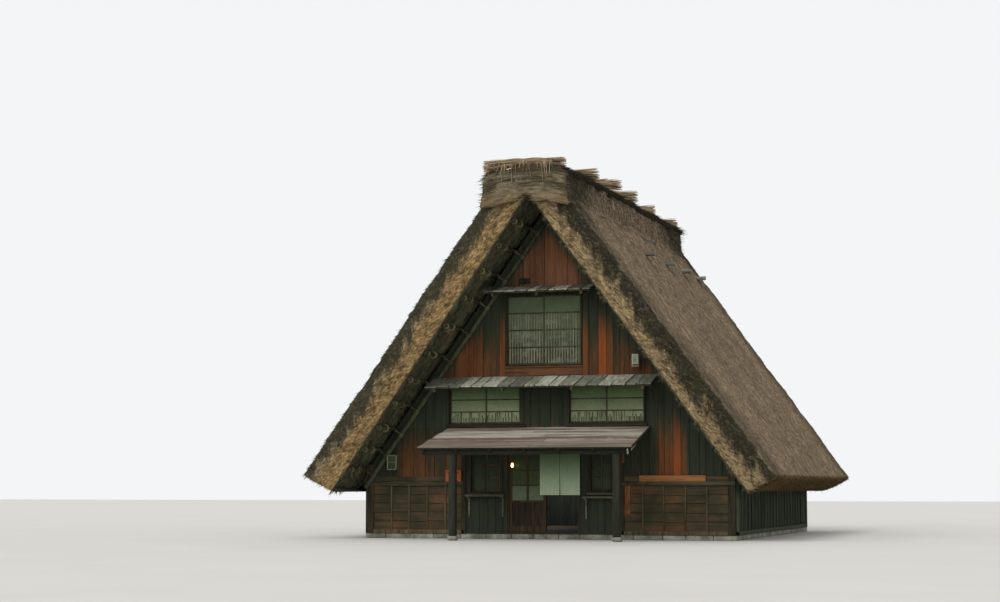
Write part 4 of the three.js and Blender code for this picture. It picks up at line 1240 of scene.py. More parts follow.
def buildFrontPanels(rng):
    panels, battens, stained = newMesh(), newMesh(), newMesh()
    battenHeights = (levels["battenFoot"], levels["beltFoot"])
    wide, proud = battenSizes["front"]
    for start, finish in ((-bays["corner"], bays["left"]), (bays["right"], bays["corner"])):
        width = (finish - start) / bays["count"]
        for i in range(bays["count"]):
            left, right = start + width * i, start + width * (i + 1)
            clad(panels, "front", (left, right, levels["panelFoot"], levels["beltFoot"]), lapBoards, rng)
            if i:
                u = left + rng.uniform(-0.01, 0.01)
                tone = rng.uniform(0.4, 1) if u < 0 else rng.uniform(0, 0.6)
                addUpright(battens, "front", u, wide, battenHeights, proud, tone, 0.004)
        wallBlock(battens, "front", (start, footingTop, 0.0), (finish, levels["baseTop"], 0.05),
                  rng.random(), 0.006)
        wallBlock(panels, "front", (start - 0.1, levels["belt"] + 0.002, 0.0),
                  (finish, levels["belt"] + 0.12, 0.032), 0.95, 0.004)
    makePiece("lapPanels", panels, panelBoardFinish("lapWood"))
    clad(stained, "front", stainedPlank["zone"], stainedPlank["boards"], rng)
    wallBlock(stained, "front", *stainedPlank["label"], 0.5, 0.002)
    stain = rgb(76, 56, 38)
    stainedWood = timberFinish("stainedWood", "Z", rgb(146, 96, 58), rgb(74, 52, 34), 0.3, stain=stain)
    makePiece("stainedPlank", stained, stainedWood)
    battenWood = timberFinish("battenWood", "Z", rgb(100, 88, 66), rgb(50, 42, 32), 0.5)
    makePiece("wallBattens", battens, battenWood)


def buildFrontBoards():
    rng = random.Random(31)
    buildFrontCladding(rng)
    buildFrontPanels(rng)
    bm = newMesh()
    for u, width, top in posts:
        addUpright(bm, "front", u, width, (footingTop, top), 0.05, rng.random(), 0.008)
    postWood = timberFinish("wallPostWood", "Z", rgb(70, 63, 48), rgb(32, 30, 24))
    makePiece("wallPosts", bm, postWood)
    print("front boards made")


def buildBackBoards():
    rng = random.Random(37)
    windows = [nodeHole(f"back_window_{name}") for name in ("third", "second_left", "second_right")]
    corner, end = bays["corner"], bays["end"]
    bm = newMesh()
    gableCladding(bm, "back", rng, windows)
    clad(bm, "back", (-end, end, levels["belt"], levels["middleRoof"]), gableBoards, rng, windows)
    underRoof(bm, underThatch)
    makePiece("backBoards", bm, gableBoardFinish("backGableBoards"))
    panels, battens = newMesh(), newMesh()
    clad(panels, "back", (-corner, corner, levels["panelFoot"], levels["beltFoot"]), lapBoards, rng)
    heights = (levels["battenFoot"], levels["beltFoot"])
    wide, proud = battenSizes["back"]
    for u in evenly(-corner, corner, 19):
        addUpright(battens, "back", u, wide, heights, proud, rng.random(), 0.004)
    for bottom, top, proud, tone in ((footingTop, levels["baseTop"], 0.05, 0.3),
                                     (levels["beltFoot"], levels["belt"], 0.06, 0.6)):
        addUpright(battens, "back", 0.0, wallSide * 2, (bottom, top), proud, tone, 0.006)
    makePiece("backLapPanels", panels, panelBoardFinish("backLapWood"))
    battenWood = timberFinish("backBattenWood", "X", rgb(112, 98, 74), rgb(48, 42, 33))
    makePiece("backBattens", battens, battenWood)
    print("back boards made")


sideWall = {"top": 1.8, "postTop": 1.83, "post": 0.18, "battens": 0.45}


def buildSideBoards():
    rng = random.Random(41)
    boards, battens = newMesh(), newMesh()
    post, top = sideWall["post"], sideWall["top"]
    start, finish = wallFront + post, wallBack - post
    count = round((finish - start) / sideWall["battens"]) + 1
    wide, proud = battenSizes["side"]
    for wall in ("right", "left"):
        clad(boards, wall, (start, finish, levels["baseTop"], top), sideBoards, rng)
        for u in evenly(start, finish, count):
            addUpright(battens, wall, u, wide, (footingTop + 0.05, top), proud, rng.random(), 0.005)
        wallBlock(battens, wall, (wallFront, footingTop, 0.0), (wallBack, levels["baseTop"], 0.05),
                  rng.random(), 0.006)
        for u in (wallFront + post / 2, wallBack - post / 2):
            addUpright(battens, wall, u, post, (footingTop, sideWall["postTop"]), 0.05, rng.random(), 0.008)
    underRoof(boards, underThatch)
    underRoof(battens, underThatch)
    sideWood = timberFinish("sideWood", "Z", rgb(54, 61, 45), rgb(28, 34, 26))
    battenWood = timberFinish("sideBattenWood", "Z", rgb(74, 79, 60), rgb(38, 43, 32))
    makePiece("sideBoards", boards, sideWood)
    makePiece("sideBattens", battens, battenWood)
    print("side boards made")


def dressWalls():
    hidden = timberFinish("innerBoards", "Z", rgb(62, 68, 58), rgb(36, 42, 36))
    for node in ("front_gable_lower", "front_gable_upper", "front_wall_left", "front_wall_right",
                 "front_wall_over_door", "back_gable_lower", "back_gable_upper", "back_wall",
                 "left_side_wall", "right_side_wall"):
        dress(node, hidden)
    floors = timberFinish("floorWood", "Y", rgb(112, 90, 66), rgb(62, 49, 36))
    for node in ("ground_floor", "second_floor", "third_floor"):
        dress(node, floors)
    rails = timberFinish("railWood", "X", rgb(96, 90, 70), rgb(44, 41, 32))
    for node in ("belt_rail_left", "belt_rail_right"):
        dress(node, rails)
    print("walls and floors dressed")


footing = {"length": 0.62, "jitter": 0.1, "depth": 0.26, "gap": 0.012, "inset": 0.01, "worn": 0.014}


def buildFooting():  # a course of long squared stones round the house
    low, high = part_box("stone_footing")
    rng = random.Random(43)
    bm = newMesh()
    depth = footing["depth"]
    for side in ("front", "back", "left", "right"):
        along = 0 if side in ("front", "back") else 1
        start, finish = low[along], high[along]
        if along:
            start, finish = start + depth, finish - depth
        edges = edgesAlong(start, finish, footing["length"], footing["jitter"], rng)
        for first, last in zip(edges, edges[1:]):
            first, last = first + footing["gap"] / 2, last - footing["gap"] / 2
            inset = rng.uniform(0, footing["inset"])
            corners = {
                "front": ((first, low.y + inset, 0), (last, low.y + depth, high.z)),
                "back": ((first, high.y - depth, 0), (last, high.y - inset, high.z)),
                "left": ((low.x + inset, first, 0), (low.x + depth, last, high.z)),
                "right": ((high.x - depth, first, 0), (high.x - inset, last, high.z)),
            }
            addBlock(bm, *corners[side], rng.random(), footing["worn"])
    makePiece("footingStones", bm, stoneFinish("footingStone"), ["stone_footing"])
    print("footing made")


# Windows: a frame, sashes side by side, panes in rows, thin bars in front of some rows

groundWindow = {
    "frame": 0.05, "stile": 0.035, "rail": 0.03, "rows": (0.3, 0.33, 0.37), "bars": {},
    "sills": ((0.06, 0.075),), "reach": 0.05, "middle": 0.0,
    "paneLow": rgb(50, 62, 38), "paneHigh": rgb(36, 44, 29),
    "sillPale": rgb(96, 92, 72), "sillDark": rgb(56, 54, 42),
}
windowLooks = {
    # rows: shares of the height from the top down; bars: how many before a row; sills: their height and depth
    "third": {
        "frame": 0.035, "stile": 0.03, "rail": 0.03, "rows": (0.25, 0.245, 0.25, 0.255),
        "bars": {1: 13, 2: 13, 3: 13}, "barWidth": 0.025,
        "barTones": {1: (0.16, 0.3), 2: (0.16, 0.4), 3: (0.1, 0.7)},
        "sills": ((0.04, 0.06), (0.2, 0.035)), "reach": 0.01, "middle": 0.0,
        "paneLow": rgb(46, 51, 41), "paneHigh": rgb(82, 98, 69), "clouds": rgb(148, 156, 138),
        "barPale": rgb(150, 144, 116), "barDark": rgb(90, 94, 74),
        "sillPale": rgb(108, 70, 44), "sillDark": rgb(56, 42, 31),
    },
    "second": {
        "frame": 0.028, "stile": 0.03, "rail": 0.026, "rows": (0.4, 0.3, 0.3),
        "bars": {2: 22}, "barWidth": 0.016, "laths": True,
        "sills": ((0.07, 0.075),), "reach": 0.05, "middle": 0.0,
        "paneLow": rgb(136, 146, 114), "paneHigh": rgb(72, 94, 54),
        "barPale": rgb(84, 80, 60), "barDark": rgb(34, 34, 26),
        "sillPale": rgb(52, 50, 38), "sillDark": rgb(28, 28, 22),
    },
    "groundLeft": dict(groundWindow, frame=0.06, stile=0.04, middle=0.03,
                       paneLow=rgb(48, 60, 36), paneHigh=rgb(34, 42, 27)),
    "groundRight": groundWindow,
}
depths = {  # out from the wall's face
    "frame": (-0.1, 0.045), "middle": (-0.08, 0.0), "sash": 0.032, "sashFaces": (-0.042, -0.005),
    "pane": (0.01, 0.014), "bar": (-0.024, -0.012),
}


def addFrame(frame, sills, wall, look, zone, rng):
    left, right, bottom, top = zone
    edge = look["frame"]
    back, proud = depths["frame"]
    for start, end in (
        ((left, bottom, back), (left + edge, top, proud)),
        ((right - edge, bottom, back), (right, top, proud)),
        ((left + edge, top - edge, back), (right - edge, top, proud)),
        ((left + edge, bottom, back), (right - edge, bottom + edge, proud)),
    ):
        wallBlock(frame, wall, start, end, rng.random(), 0.004)
    height = bottom
    for tall, out in look["sills"]:
        wallBlock(sills, wall, (left - look["reach"], height - tall + 0.006, 0.0),
                  (right + look["reach"], height, out), rng.random() * 0.4 + 0.4, 0.005)
        height -= tall
    if look["middle"]:
        middle = (left + right) / 2
        back, proud = depths["middle"]
        wallBlock(frame, wall, (middle - look["middle"] / 2, bottom + edge, back),
                  (middle + look["middle"] / 2, top - edge, proud))


def addSash(meshes, wall, look, zone, face, rng):
    sashes, bars, panes = meshes
    start, finish, bottom, top = zone
    stile, rail = look["stile"], look["rail"]
    left, right = start + stile, finish - stile
    behind = face - depths["sash"]
    tone = rng.random()
    for west, east, foot, head in (
        (start, left, bottom, top), (right, finish, bottom, top),
        (left, right, top - rail, top), (left, right, bottom, bottom + rail * 1.4),
    ):
        wallBlock(sashes, wall, (west, foot, behind), (east, head, face), tone, 0.003)
    paneBack, paneFront = depths["pane"]
    wallBlock(panes, wall, (left, bottom + rail, behind + paneBack), (right, top - rail, behind + paneFront),
              rng.random())
    height = top
    for row, share in enumerate(look["rows"]):
        rowTop, height = height, height - (top - bottom) * share
        if row < len(look["rows"]) - 1:
            foot, head = height - rail / 2, height + rail / 2
            wallBlock(sashes, wall, (left, foot, behind), (right, head, face), tone, 0.002)
        if look["bars"].get(row):
            addBars(bars, wall, look, row, (left, right, height, rowTop), face, rng)


def addBars(bm, wall, look, row, zone, face, rng):
    left, right, bottom, top = zone
    number = look["bars"][row]
    tones = look.get("barTones", {}).get(row, (0, 1))
    back, front = depths["bar"]
    for i in range(number):
        u = left + (right - left) * (i + 0.5) / number
        wide = look["barWidth"] / 2
        high = top - look["rail"] / 2
        turn = None
        if look.get("laths"):  # of every width and height, and never quite upright
            wide *= rng.uniform(0.6, 1.5)
            high = top - (top - bottom) * rng.choice((0.04, 0.1, 0.3, 0.5))
            u += rng.uniform(-0.006, 0.006)
            turn = Matrix.Rotation(rng.uniform(-0.03, 0.03), 4, "Y")
        low = bottom + look["rail"] / 2
        wallBlock(bm, wall, (u - wide, low, face + back), (u + wide, high, face + front),
                  rng.uniform(*tones), 0.0, turn)


def buildWindow(node, wall, look, seed):
    low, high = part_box(node)
    rng = random.Random(seed)
    name = node.replace("_", " ").title().replace(" ", "")
    frame, sashes, bars, panes, sills = [newMesh() for _ in range(5)]
    addFrame(frame, sills, wall, look, (low.x, high.x, low.z, high.z), rng)
    edge = look["frame"]
    left, right, bottom, top = low.x + edge, high.x - edge, low.z + edge, high.z - edge
    middle = left + (right - left) / 2
    overlap = 0 if look["middle"] else look["stile"] / 2  # the sashes meet at a post or behind each other
    for start, finish, face in ((left, middle + overlap, depths["sashFaces"][0]),
                                (middle - overlap, right, depths["sashFaces"][1])):
        addSash((sashes, bars, panes), wall, look, (start, finish, bottom, top), face, rng)
    frameWood = timberFinish(f"frameWood{name}", "Z", rgb(58, 54, 42), rgb(28, 28, 22))
    sashWood = timberFinish(f"sashWood{name}", "Z", rgb(82, 76, 58), rgb(40, 38, 30))
    sillWood = timberFinish(f"sillWood{name}", "X", look["sillPale"], look["sillDark"])
    glass = paneFinish(f"panes{name}", look["paneLow"], look["paneHigh"], bottom, top, look.get("clouds"))
    makePiece(f"frame{name}", frame, frameWood, [node])
    makePiece(f"sashes{name}", sashes, sashWood)
    makePiece(f"sills{name}", sills, sillWood)
    if look["bars"]:
        barWood = timberFinish(f"barWood{name}", "Z", look["barPale"], look["barDark"], 0.8)
        makePiece(f"bars{name}", bars, barWood)
    makePiece(f"panes{name}", panes, glass)


def buildWindows():
    for seed, (node, wall, kind) in enumerate((
        ("window_third", "front", "third"), ("window_second_left", "front", "second"),
        ("window_second_right", "front", "second"), ("window_ground_left", "front", "groundLeft"),
        ("window_ground_right", "front", "groundRight"), ("back_window_third", "back", "third"),
        ("back_window_second_left", "back", "second"), ("back_window_second_right", "back", "second"),
    )):
        buildWindow(node, wall, windowLooks[kind], 50 + seed)
    print("windows made")


# Board roofs and the porch

boardRoofs = {
    # askew: the boards are laid a little aslant
    "middle": {"rise": 0.275, "depth": 0.74, "boards": 18, "arms": 4, "arm": 0.07, "askew": -0.1},
    "upper": {"rise": 0.155, "depth": 0.6, "boards": 10, "arms": 3, "arm": 0.07, "askew": -0.08},
}


def slopeFrame(top, drop, depth):  # X across, Y from the wall outwards down the slope
    length = math.hypot(drop, depth)
    angle = math.atan2(drop, depth)
    return Matrix.Translation((0, wallFront, top)) @ Matrix.Rotation(angle, 4, "X"), length


def addOnSlope(bm, place, low, high, tone, chamfer, turn=0.0):
    part = newMesh()
    addBlock(part, low, high, tone, chamfer)
    middle = (Vector(low) + Vector(high)) / 2
    spin = Matrix.Translation(middle) @ Matrix.Rotation(turn, 4, "Z") @ Matrix.Translation(-middle)
    bmesh.ops.transform(part, matrix=place @ spin, verts=part.verts[:])
    merge(bm, part)


def addRoofBoards(bm, place, length, look, left, right, rng):
    edges = edgesAlong(left + 0.01, right - 0.01, (right - left) / look["boards"], 0.06, rng)
    for i, (start, finish) in enumerate(zip(edges, edges[1:])):
        front = -length + rng.uniform(0.0, 0.03)
        lift = 0.006 * (i % 2)
        askew = look["askew"] * (0.3 if i in (0, len(edges) - 2) else 1)
        low = (start + rng.uniform(0.01, 0.03), front, -0.034 + lift)
        high = (finish - 0.006, -0.002, -0.006 + lift)
        addOnSlope(bm, place, low, high, rng.random(), 0.004, askew * rng.uniform(0.6, 1.3))
        if rng.random() < 0.4:  # a thin batten over the joint, never quite straight
            low = (start - 0.014, front + rng.uniform(0.0, 0.06), -0.004 + lift)
            high = (start + 0.014, -0.004, 0.008)
            addOnSlope(bm, place, low, high, rng.random() * 0.5, 0.002, askew * rng.uniform(0.6, 1.3))


def addRoofArms(bm, place, length, look, left, right, rng):
    for inset, front, back, bottom, top, tone, chamfer in (  # front bar, lining, back bar
        (0.03, 0.05 - length, 0.11 - length, -0.075, -0.036, 0.4, 0.004),
        (0.02, 0.03 - length, -0.004, -0.04, -0.0365, 0.1, 0.0),
        (0.03, -0.09, -0.03, -0.075, -0.036, 0.6, 0.004),
    ):
        addOnSlope(bm, place, (left + inset, front, bottom), (right - inset, back, top), tone, chamfer)
    half = look["arm"] / 2
    for x in evenly(left + 0.25, right - 0.25, look["arms"]):  # the arms are under the bars
        addOnSlope(bm, place, (x - half, 0.03 - length, -0.15), (x + half, -0.02, -0.07), rng.random(), 0.006)


def buildBoardRoofs():
    wood = weatheredFinish("roofBoardWood")
    armWood = timberFinish("armWood", "Y", rgb(92, 82, 62), rgb(42, 38, 29))
    for name, look in boardRoofs.items():
        rng = random.Random(len(name))
        low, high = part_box(f"{name}_board_roof")
        place, length = slopeFrame(high.z, look["rise"], look["depth"])
        boards, arms = newMesh(), newMesh()
        addRoofBoards(boards, place, length, look, low.x, high.x, rng)
        addRoofArms(arms, place, length, look, low.x, high.x, rng)
        makePiece(f"{name}RoofBoards", boards, wood, [f"{name}_board_roof"])
        makePiece(f"{name}RoofArms", arms, armWood)
    print("board roofs made")


porch = {
    "courses": 7, "lap": 0.09, "step": 0.014, "rise": 0.52, "barge": 0.05,
    "sheet": 2.7, "jitter": 0.5,  # length of a board, and how much it varies
    "leftIn": 0.08, "leftOut": 0.075, "rightOut": 0.04, "end": 0.06,
    "oldBarge": {"length": 0.8, "from": 0.1, "to": 0.07, "drop": 0.2},
}
baseStone = {
    "inset": 0.02, "worn": 0.03, "voxel": 0.012, "seeds": {"left": 3, "right": 4},
    "waves": [((0.12, 0.12, 0.12), 0.016), ((0.04, 0.04, 0.04), 0.006)],
}


def addPorchBoards(bm, place, length, low, high, rng):  # courses of long boards that lap
    courses = porch["courses"]
    deep = length / courses
    for i in range(courses):
        back = -deep * i
        front = -deep * (i + 1) - (porch["lap"] if i < courses - 1 else 0.0)
        joints = edgesAlong(low.x + 0.02, high.x - 0.02, porch["sheet"], porch["jitter"], rng)
        for left, right in zip(joints, joints[1:]):
            top = -0.008 - porch["step"] * (i % 2) * 0.5 + rng.uniform(0, 0.004)
            bottom = -0.03 - (courses - 1 - i) * 0.001
            addOnSlope(bm, place, (left + 0.003, front + rng.uniform(-0.004, 0.004), bottom),
                       (right - 0.003, back, top), rng.random(), 0.004, rng.uniform(-0.002, 0.002))


def skewPorch(bm, low, high):  # the roof is not quite square: its front edge is the longer one
    for vert in bm.verts:
        forward = (high.y - vert.co.y) / (high.y - low.y)
        if vert.co.x < low.x + porch["end"]:
            vert.co.x += porch["leftIn"] * (1 - forward) - porch["leftOut"] * forward
        if vert.co.x > high.x - porch["end"]:
            vert.co.x += porch["rightOut"]


def buildPorchRoof():
    rng = random.Random(61)
    low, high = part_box("porch_roof")
    place, length = slopeFrame(high.z, porch["rise"], high.y - low.y)
    boards, edges, arm = newMesh(), newMesh(), newMesh()
    addPorchBoards(boards, place, length, low, high, rng)
    for x in (low.x + 0.012, high.x - 0.012):
        addOnSlope(edges, place, (x - 0.012, -length, -porch["barge"]), (x + 0.012, 0.0, 0.012), 0.8, 0.004)
    addOnSlope(edges, place, (low.x + 0.03, -length + 0.03, -0.07), (high.x - 0.03, -length + 0.055, -0.03),
               0.1, 0.004)
    for bm in (boards, edges):
        skewPorch(bm, low, high)
    old = porch["oldBarge"]  # hangs under the right end
    addOnSlope(arm, place, (high.x - old["from"], -length - 0.02, -old["drop"]),
               (high.x - old["to"], -length + old["length"], -0.07), 0.6, 0.006)
    makePiece("porchOldBarge", arm, weatheredFinish("oldBargeWood"))
    makePiece("porchRoofBoards", boards, porchRoofFinish("porchRoofWood"), ["porch_roof"])
    bargeWood = timberFinish("bargeWood", "Y", rgb(70, 66, 52), rgb(34, 34, 27))
    makePiece("porchEdgeBoards", edges, bargeWood)
    dress("porch_frame", timberFinish("porchFrameWood", "X", rgb(50, 50, 39), rgb(26, 28, 22)))
    print("porch roof made")


def buildPorchPosts():
    postWood = timberFinish("postWood", "Z", rgb(54, 55, 44), rgb(30, 32, 26), 0.3)
    for side in ("left", "right"):
        low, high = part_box(f"porch_post_{side}")
        bm = newMesh()
        addBlock(bm, low, high, 0.5, 0.018)
        makePiece(f"porchPost_{side}", bm, postWood, [f"porch_post_{side}"])
        low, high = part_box(f"porch_stone_{side}")
        inset = baseStone["inset"]
        bm = newMesh()
        addBlock(bm, low + Vector((inset, inset, 0.012)), high - Vector((inset, inset, 0.004)),
                 0.5, baseStone["worn"])
        mesh = remeshed("stone", bm, baseStone["voxel"])
        roughen(mesh, baseStone["waves"], baseStone["seeds"][side])
        for vert in mesh.vertices:  # flat under the post and on the ground
            vert.co.z = max(0.0, min(high.z, vert.co.z))
        stone = stoneFinish(f"porchStone_{side}")
        makePiece(f"porchStone_{side}", mesh, stone, [f"porch_stone_{side}"], smooth=True)
    print("porch posts made")


# Entrance and small things on the front wall

leaf = {
    "stile": 0.07, "rail": 0.05, "foot": 0.16, "panelTop": 0.78, "boards": 5,
    "middle": 0.056, "bar": 0.028, "worn": 0.003,
    # panes from the top down: their share of the glazed height and the finish that they take
    "rows": ((0.34, "clear"), (0.33, "clear"), (0.33, "frost")), "pane": (0.015, 0.019),
    "clear": (rgb(62, 74, 40), rgb(42, 52, 30)), "frost": (rgb(92, 104, 84), rgb(80, 92, 72)),
    "frostFade": 0.5,
}


def buildLeaf(name, node, body):
    low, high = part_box(node)
    wood, panels = newMesh(), newMesh()
    panes = {"clear": newMesh(), "frost": newMesh()}
    stile, rail, worn = leaf["stile"], leaf["rail"], leaf["worn"]
    front, back = low.y, high.y
    for x in (low.x, high.x - stile):
        addBlock(wood, (x, front, low.z), (x + stile, back, high.z), 0.5, worn)
    left, right = low.x + stile, high.x - stile
    bottom, panelTop, top = low.z + leaf["foot"], low.z + leaf["panelTop"], high.z - rail
    for start, finish in ((low.z, bottom), (panelTop - rail, panelTop), (top, high.z)):
        addBlock(wood, (left, front, start), (right, back, finish), 0.6, worn)
    middle, half = (low.x + high.x) / 2, leaf["middle"] / 2
    addBlock(wood, (middle - half, front + 0.004, panelTop), (middle + half, back - 0.004, top), 0.4, worn)
    step = (right - left) / leaf["boards"]
    for i in range(leaf["boards"]):
        addBlock(panels, (left + step * i + 0.002, front + 0.012, bottom),
                 (left + step * (i + 1) - 0.002, back - 0.01, panelTop - rail), 0.2 + 0.15 * i, 0.002)
    tall = top - panelTop
    bar = leaf["bar"] / 2
    paneFront, paneBack = leaf["pane"]
    for number, (share, kind) in enumerate(leaf["rows"]):
        foot = top - tall * share
        for start, finish in ((left, middle - half), (middle + half, right)):
            addBlock(panes[kind], (start, front + paneFront, foot), (finish, front + paneBack, top),
                     0.3 + 0.2 * number)
        if number < len(leaf["rows"]) - 1:
            addBlock(wood, (left, front + 0.005, foot - bar), (right, back - 0.005, foot + bar), 0.45, 0.002)
        top = foot
    leafWood = timberFinish(f"{name}Wood", "Z", rgb(74, 62, 46), rgb(36, 31, 24), 0.3)
    panelWood = timberFinish(f"{name}PanelWood", "Z", rgb(60, 50, 38), rgb(28, 25, 20))
    clear = paneFinish(f"{name}ClearGlass", *leaf["clear"], panelTop, high.z)
    frost = paneFinish(f"{name}FrostGlass", *leaf["frost"], panelTop, panelTop + leaf["frostFade"])
    makePiece(f"{name}Wood", wood, leafWood, [node], body)
    makePiece(f"{name}Panel", panels, panelWood, (), body)
    makePiece(f"{name}Clear", panes["clear"], clear, (), body)
    makePiece(f"{name}Frost", panes["frost"], frost, (), body)


noren = {
    "gap": 0.012, "cells": (24, 52), "folds": 0.016, "waves": 4.4, "swing": 0.02,
    "starts": {"left": (1.1, 4.0), "right": (0.2, 9.0)},  # where the folds and the swing begin
    "rod": 0.011, "bracket": 0.032, "hooks": 4, "hook": 0.017, "hookCord": 0.004, "hookInset": 0.09,
}


def buildNorenRod():
    low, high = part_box("entrance_curtain")
    rodLow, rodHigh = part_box("curtain_rod")
    rod = newMesh()
    y, z = (low.y + high.y) / 2, (rodLow.z + rodHigh.z) / 2
    addPole(rod, (rodLow.x, y, z), (rodHigh.x, y, z), noren["rod"], 0.7, bend=0.002, steps=6, taper=0.95)
    half = noren["bracket"] / 2
    for x in (rodLow.x + 0.05, rodHigh.x - 0.05):
        addBlock(rod, (x - 0.01, y, z - half), (x + 0.01, wallFront, z + half), 0.4, 0.003)
    turn = Matrix.Rotation(math.pi / 2, 4, "Y")
    for x in evenly(low.x + noren["hookInset"], high.x - noren["hookInset"], noren["hooks"]):
        place = Matrix.Translation((x, y, z - 0.004)) @ turn
        addRing(rod, place, noren["hook"], noren["hookCord"], 0.9, steps=12)
    bamboo = timberFinish("rodBamboo", "X", rgb(168, 160, 132), rgb(112, 102, 78))
    makePiece("norenRod", rod, bamboo, ["curtain_rod"])


def buildNoren():
    low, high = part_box("entrance_curtain")
    cloth = clothFinish("norenCloth")
    length = high.z - low.z
    across = (high.x - low.x - noren["gap"]) / 2
    columns, rows = noren["cells"]
    for side, start in (("left", low.x), ("right", low.x + across + noren["gap"])):
        foldStart, swingStart = noren["starts"][side]
        bm = newMesh()
        made = bmesh.ops.create_grid(bm, x_segments=columns, y_segments=rows, size=0.5)
        for vert in made["verts"]:
            share, drop = vert.co.x + 0.5, 0.5 - vert.co.y
            fold = math.sin(share * noren["waves"] * math.pi + drop * 1.3 + foldStart)
            swing = noise.noise(Vector((share * 2.3, drop * 1.7, swingStart))) * noren["swing"]
            out = (fold * noren["folds"] * (0.25 + drop) + swing) * min(1, drop * 3) * 0.9
            vert.co = Vector((start + share * across, (low.y + high.y) / 2 + out, high.z - drop * length))
        bmesh.ops.recalc_face_normals(bm, faces=bm.faces[:])
        panel = makePiece(f"noren_{side}", bm, cloth, ["entrance_curtain"], smooth=True)
    buildNorenRod()


def buildEntrance():
    buildLeaf("outerLeaf", "door_leaf_outer", "outer_leaf")
    buildLeaf("innerLeaf", "door_leaf_inner", "inner_leaf")
    dress("entrance_frame", timberFinish("doorFrameWood", "Z", rgb(78, 66, 48), rgb(38, 34, 26)))
    buildNoren()
    print("entrance made")


shelves = {  # under the ground floor windows
    "places": ((-2.05, -1.04, 1.09, 0.2), (0.95, 1.76, 1.05, 0.18)),  # left, right, height, depth
    "thick": 0.05, "leg": 0.04, "legLength": 0.55,
}


def buildShelves():
    bm = newMesh()
    rng = random.Random(67)
    leg = shelves["leg"]
    for left, right, top, deep in shelves["places"]:
        under = top - shelves["thick"]
        wallBlock(bm, "front", (left, under, 0.02), (right, top, deep), rng.random(), 0.006)
        for u in (left + 0.05, right - 0.05 - leg):
            for foot, out in ((top - shelves["legLength"], 0.05), (under - leg, deep - 0.03)):
                wallBlock(bm, "front", (u, foot, 0.02), (u + leg, under, out), rng.random(), 0.004)
    shelfWood = timberFinish("shelfWood", "X", rgb(104, 102, 82), rgb(58, 56, 43))
    makePiece("windowShelves", bm, shelfWood)
    print("shelves made")


signs = {
    "boardOut": (0.034, 0.033),  # its front and back stand this far before the solid's
    "lid": 0.035, "lidOver": (0.008, 0.012), "door": 0.035, "doorDepth": (0.006, 0.014), "doorTop": 0.075,
    "slotInset": 0.06, "slotHeights": (0.055, 0.03), "lock": 0.012, "lockHeights": (0.09, 0.115),
}


def buildNameBoard():
    low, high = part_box("name_board")
    bm = newMesh()
    front, back = signs["boardOut"]
    addBlock(bm, (low.x, low.y - front, low.z), (high.x, high.y - back, high.z), 0.5, 0.008)
    wood = timberFinish("nameBoardWood", "X", rgb(168, 112, 68), rgb(108, 70, 44), 0.2)
    makePiece("nameBoard", bm, wood, ["name_board"])


def buildLetterBox():
    low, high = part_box("letter_box")
    box, slot = newMesh(), newMesh()
    lidFoot = high.z - signs["lid"]
    aside, back = signs["lidOver"]
    addBlock(box, (low.x + aside, low.y + back, low.z), (high.x - aside, high.y, lidFoot), 0.5, 0.008)
    addBlock(box, (low.x, low.y, lidFoot), (high.x, high.y, high.z), 0.5, 0.01)
    inset = signs["door"]
    start, finish = signs["doorDepth"]
    addBlock(box, (low.x + inset, low.y + start, low.z + 0.03),
             (high.x - inset, low.y + finish, lidFoot - signs["doorTop"]), 0.5, 0.003)
    red = enamelFinish("letterBoxRed", rgb(150, 80, 48), rgb(96, 60, 42))
    makePiece("letterBox", box, red, ["letter_box"])
    inset = signs["slotInset"]
    bottom, top = signs["slotHeights"]
    addBlock(slot, (low.x + inset, low.y + 0.009, lidFoot - bottom),
             (high.x - inset, low.y + 0.013, lidFoot - top))
    middle, half = (low.x + high.x) / 2, signs["lock"]
    bottom, top = signs["lockHeights"]
    addBlock(slot, (middle - half, low.y, low.z + bottom),
             (middle + half, low.y + 0.006, low.z + top), 0.5, 0.002)
    makePiece("letterBoxSlot", slot, ironFinish("slotIron"))


def buildSigns():
    buildNameBoard()
    buildLetterBox()
    print("name board and letter box made")


lantern = {"edge": 0.028, "rail": 0.008, "inset": 0.008}


def buildLantern():
    low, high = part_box("wall_lantern")
    bars, glass = newMesh(), newMesh()
    edge, inset = lantern["edge"], lantern["inset"]
    for x in (low.x, high.x - edge):
        for y in (low.y, high.y - edge):
            addBlock(bars, (x, y, low.z), (x + edge, y + edge, high.z), 0.6, 0.004)
    for z in (low.z, high.z - edge):
        addBlock(bars, (low.x, low.y, z), (high.x, high.y, z + edge), 0.6, 0.004)
    middle, half = (low.z + high.z) / 2, lantern["rail"]
    addBlock(bars, (low.x, low.y + 0.004, middle - half), (high.x, high.y, middle + half))
    addBlock(glass, (low.x + inset, low.y + inset, low.z + edge),
             (high.x - inset, high.y - 0.004, high.z - edge), 0.4)
    wood = timberFinish("lanternWood", "Z", rgb(140, 138, 112), rgb(84, 84, 66))
    panes = paneFinish("lanternGlass", rgb(46, 56, 36), rgb(62, 74, 50), low.z, high.z)
    makePiece("lanternFrame", bars, wood, ["wall_lantern"])
    makePiece("lanternPanes", glass, panes)


floodLamp = {"depth": 0.1, "yoke": 0.016, "yokeOut": 0.004, "yokeDepth": (0.03, 0.06), "arm": (0.025, 0.03)}


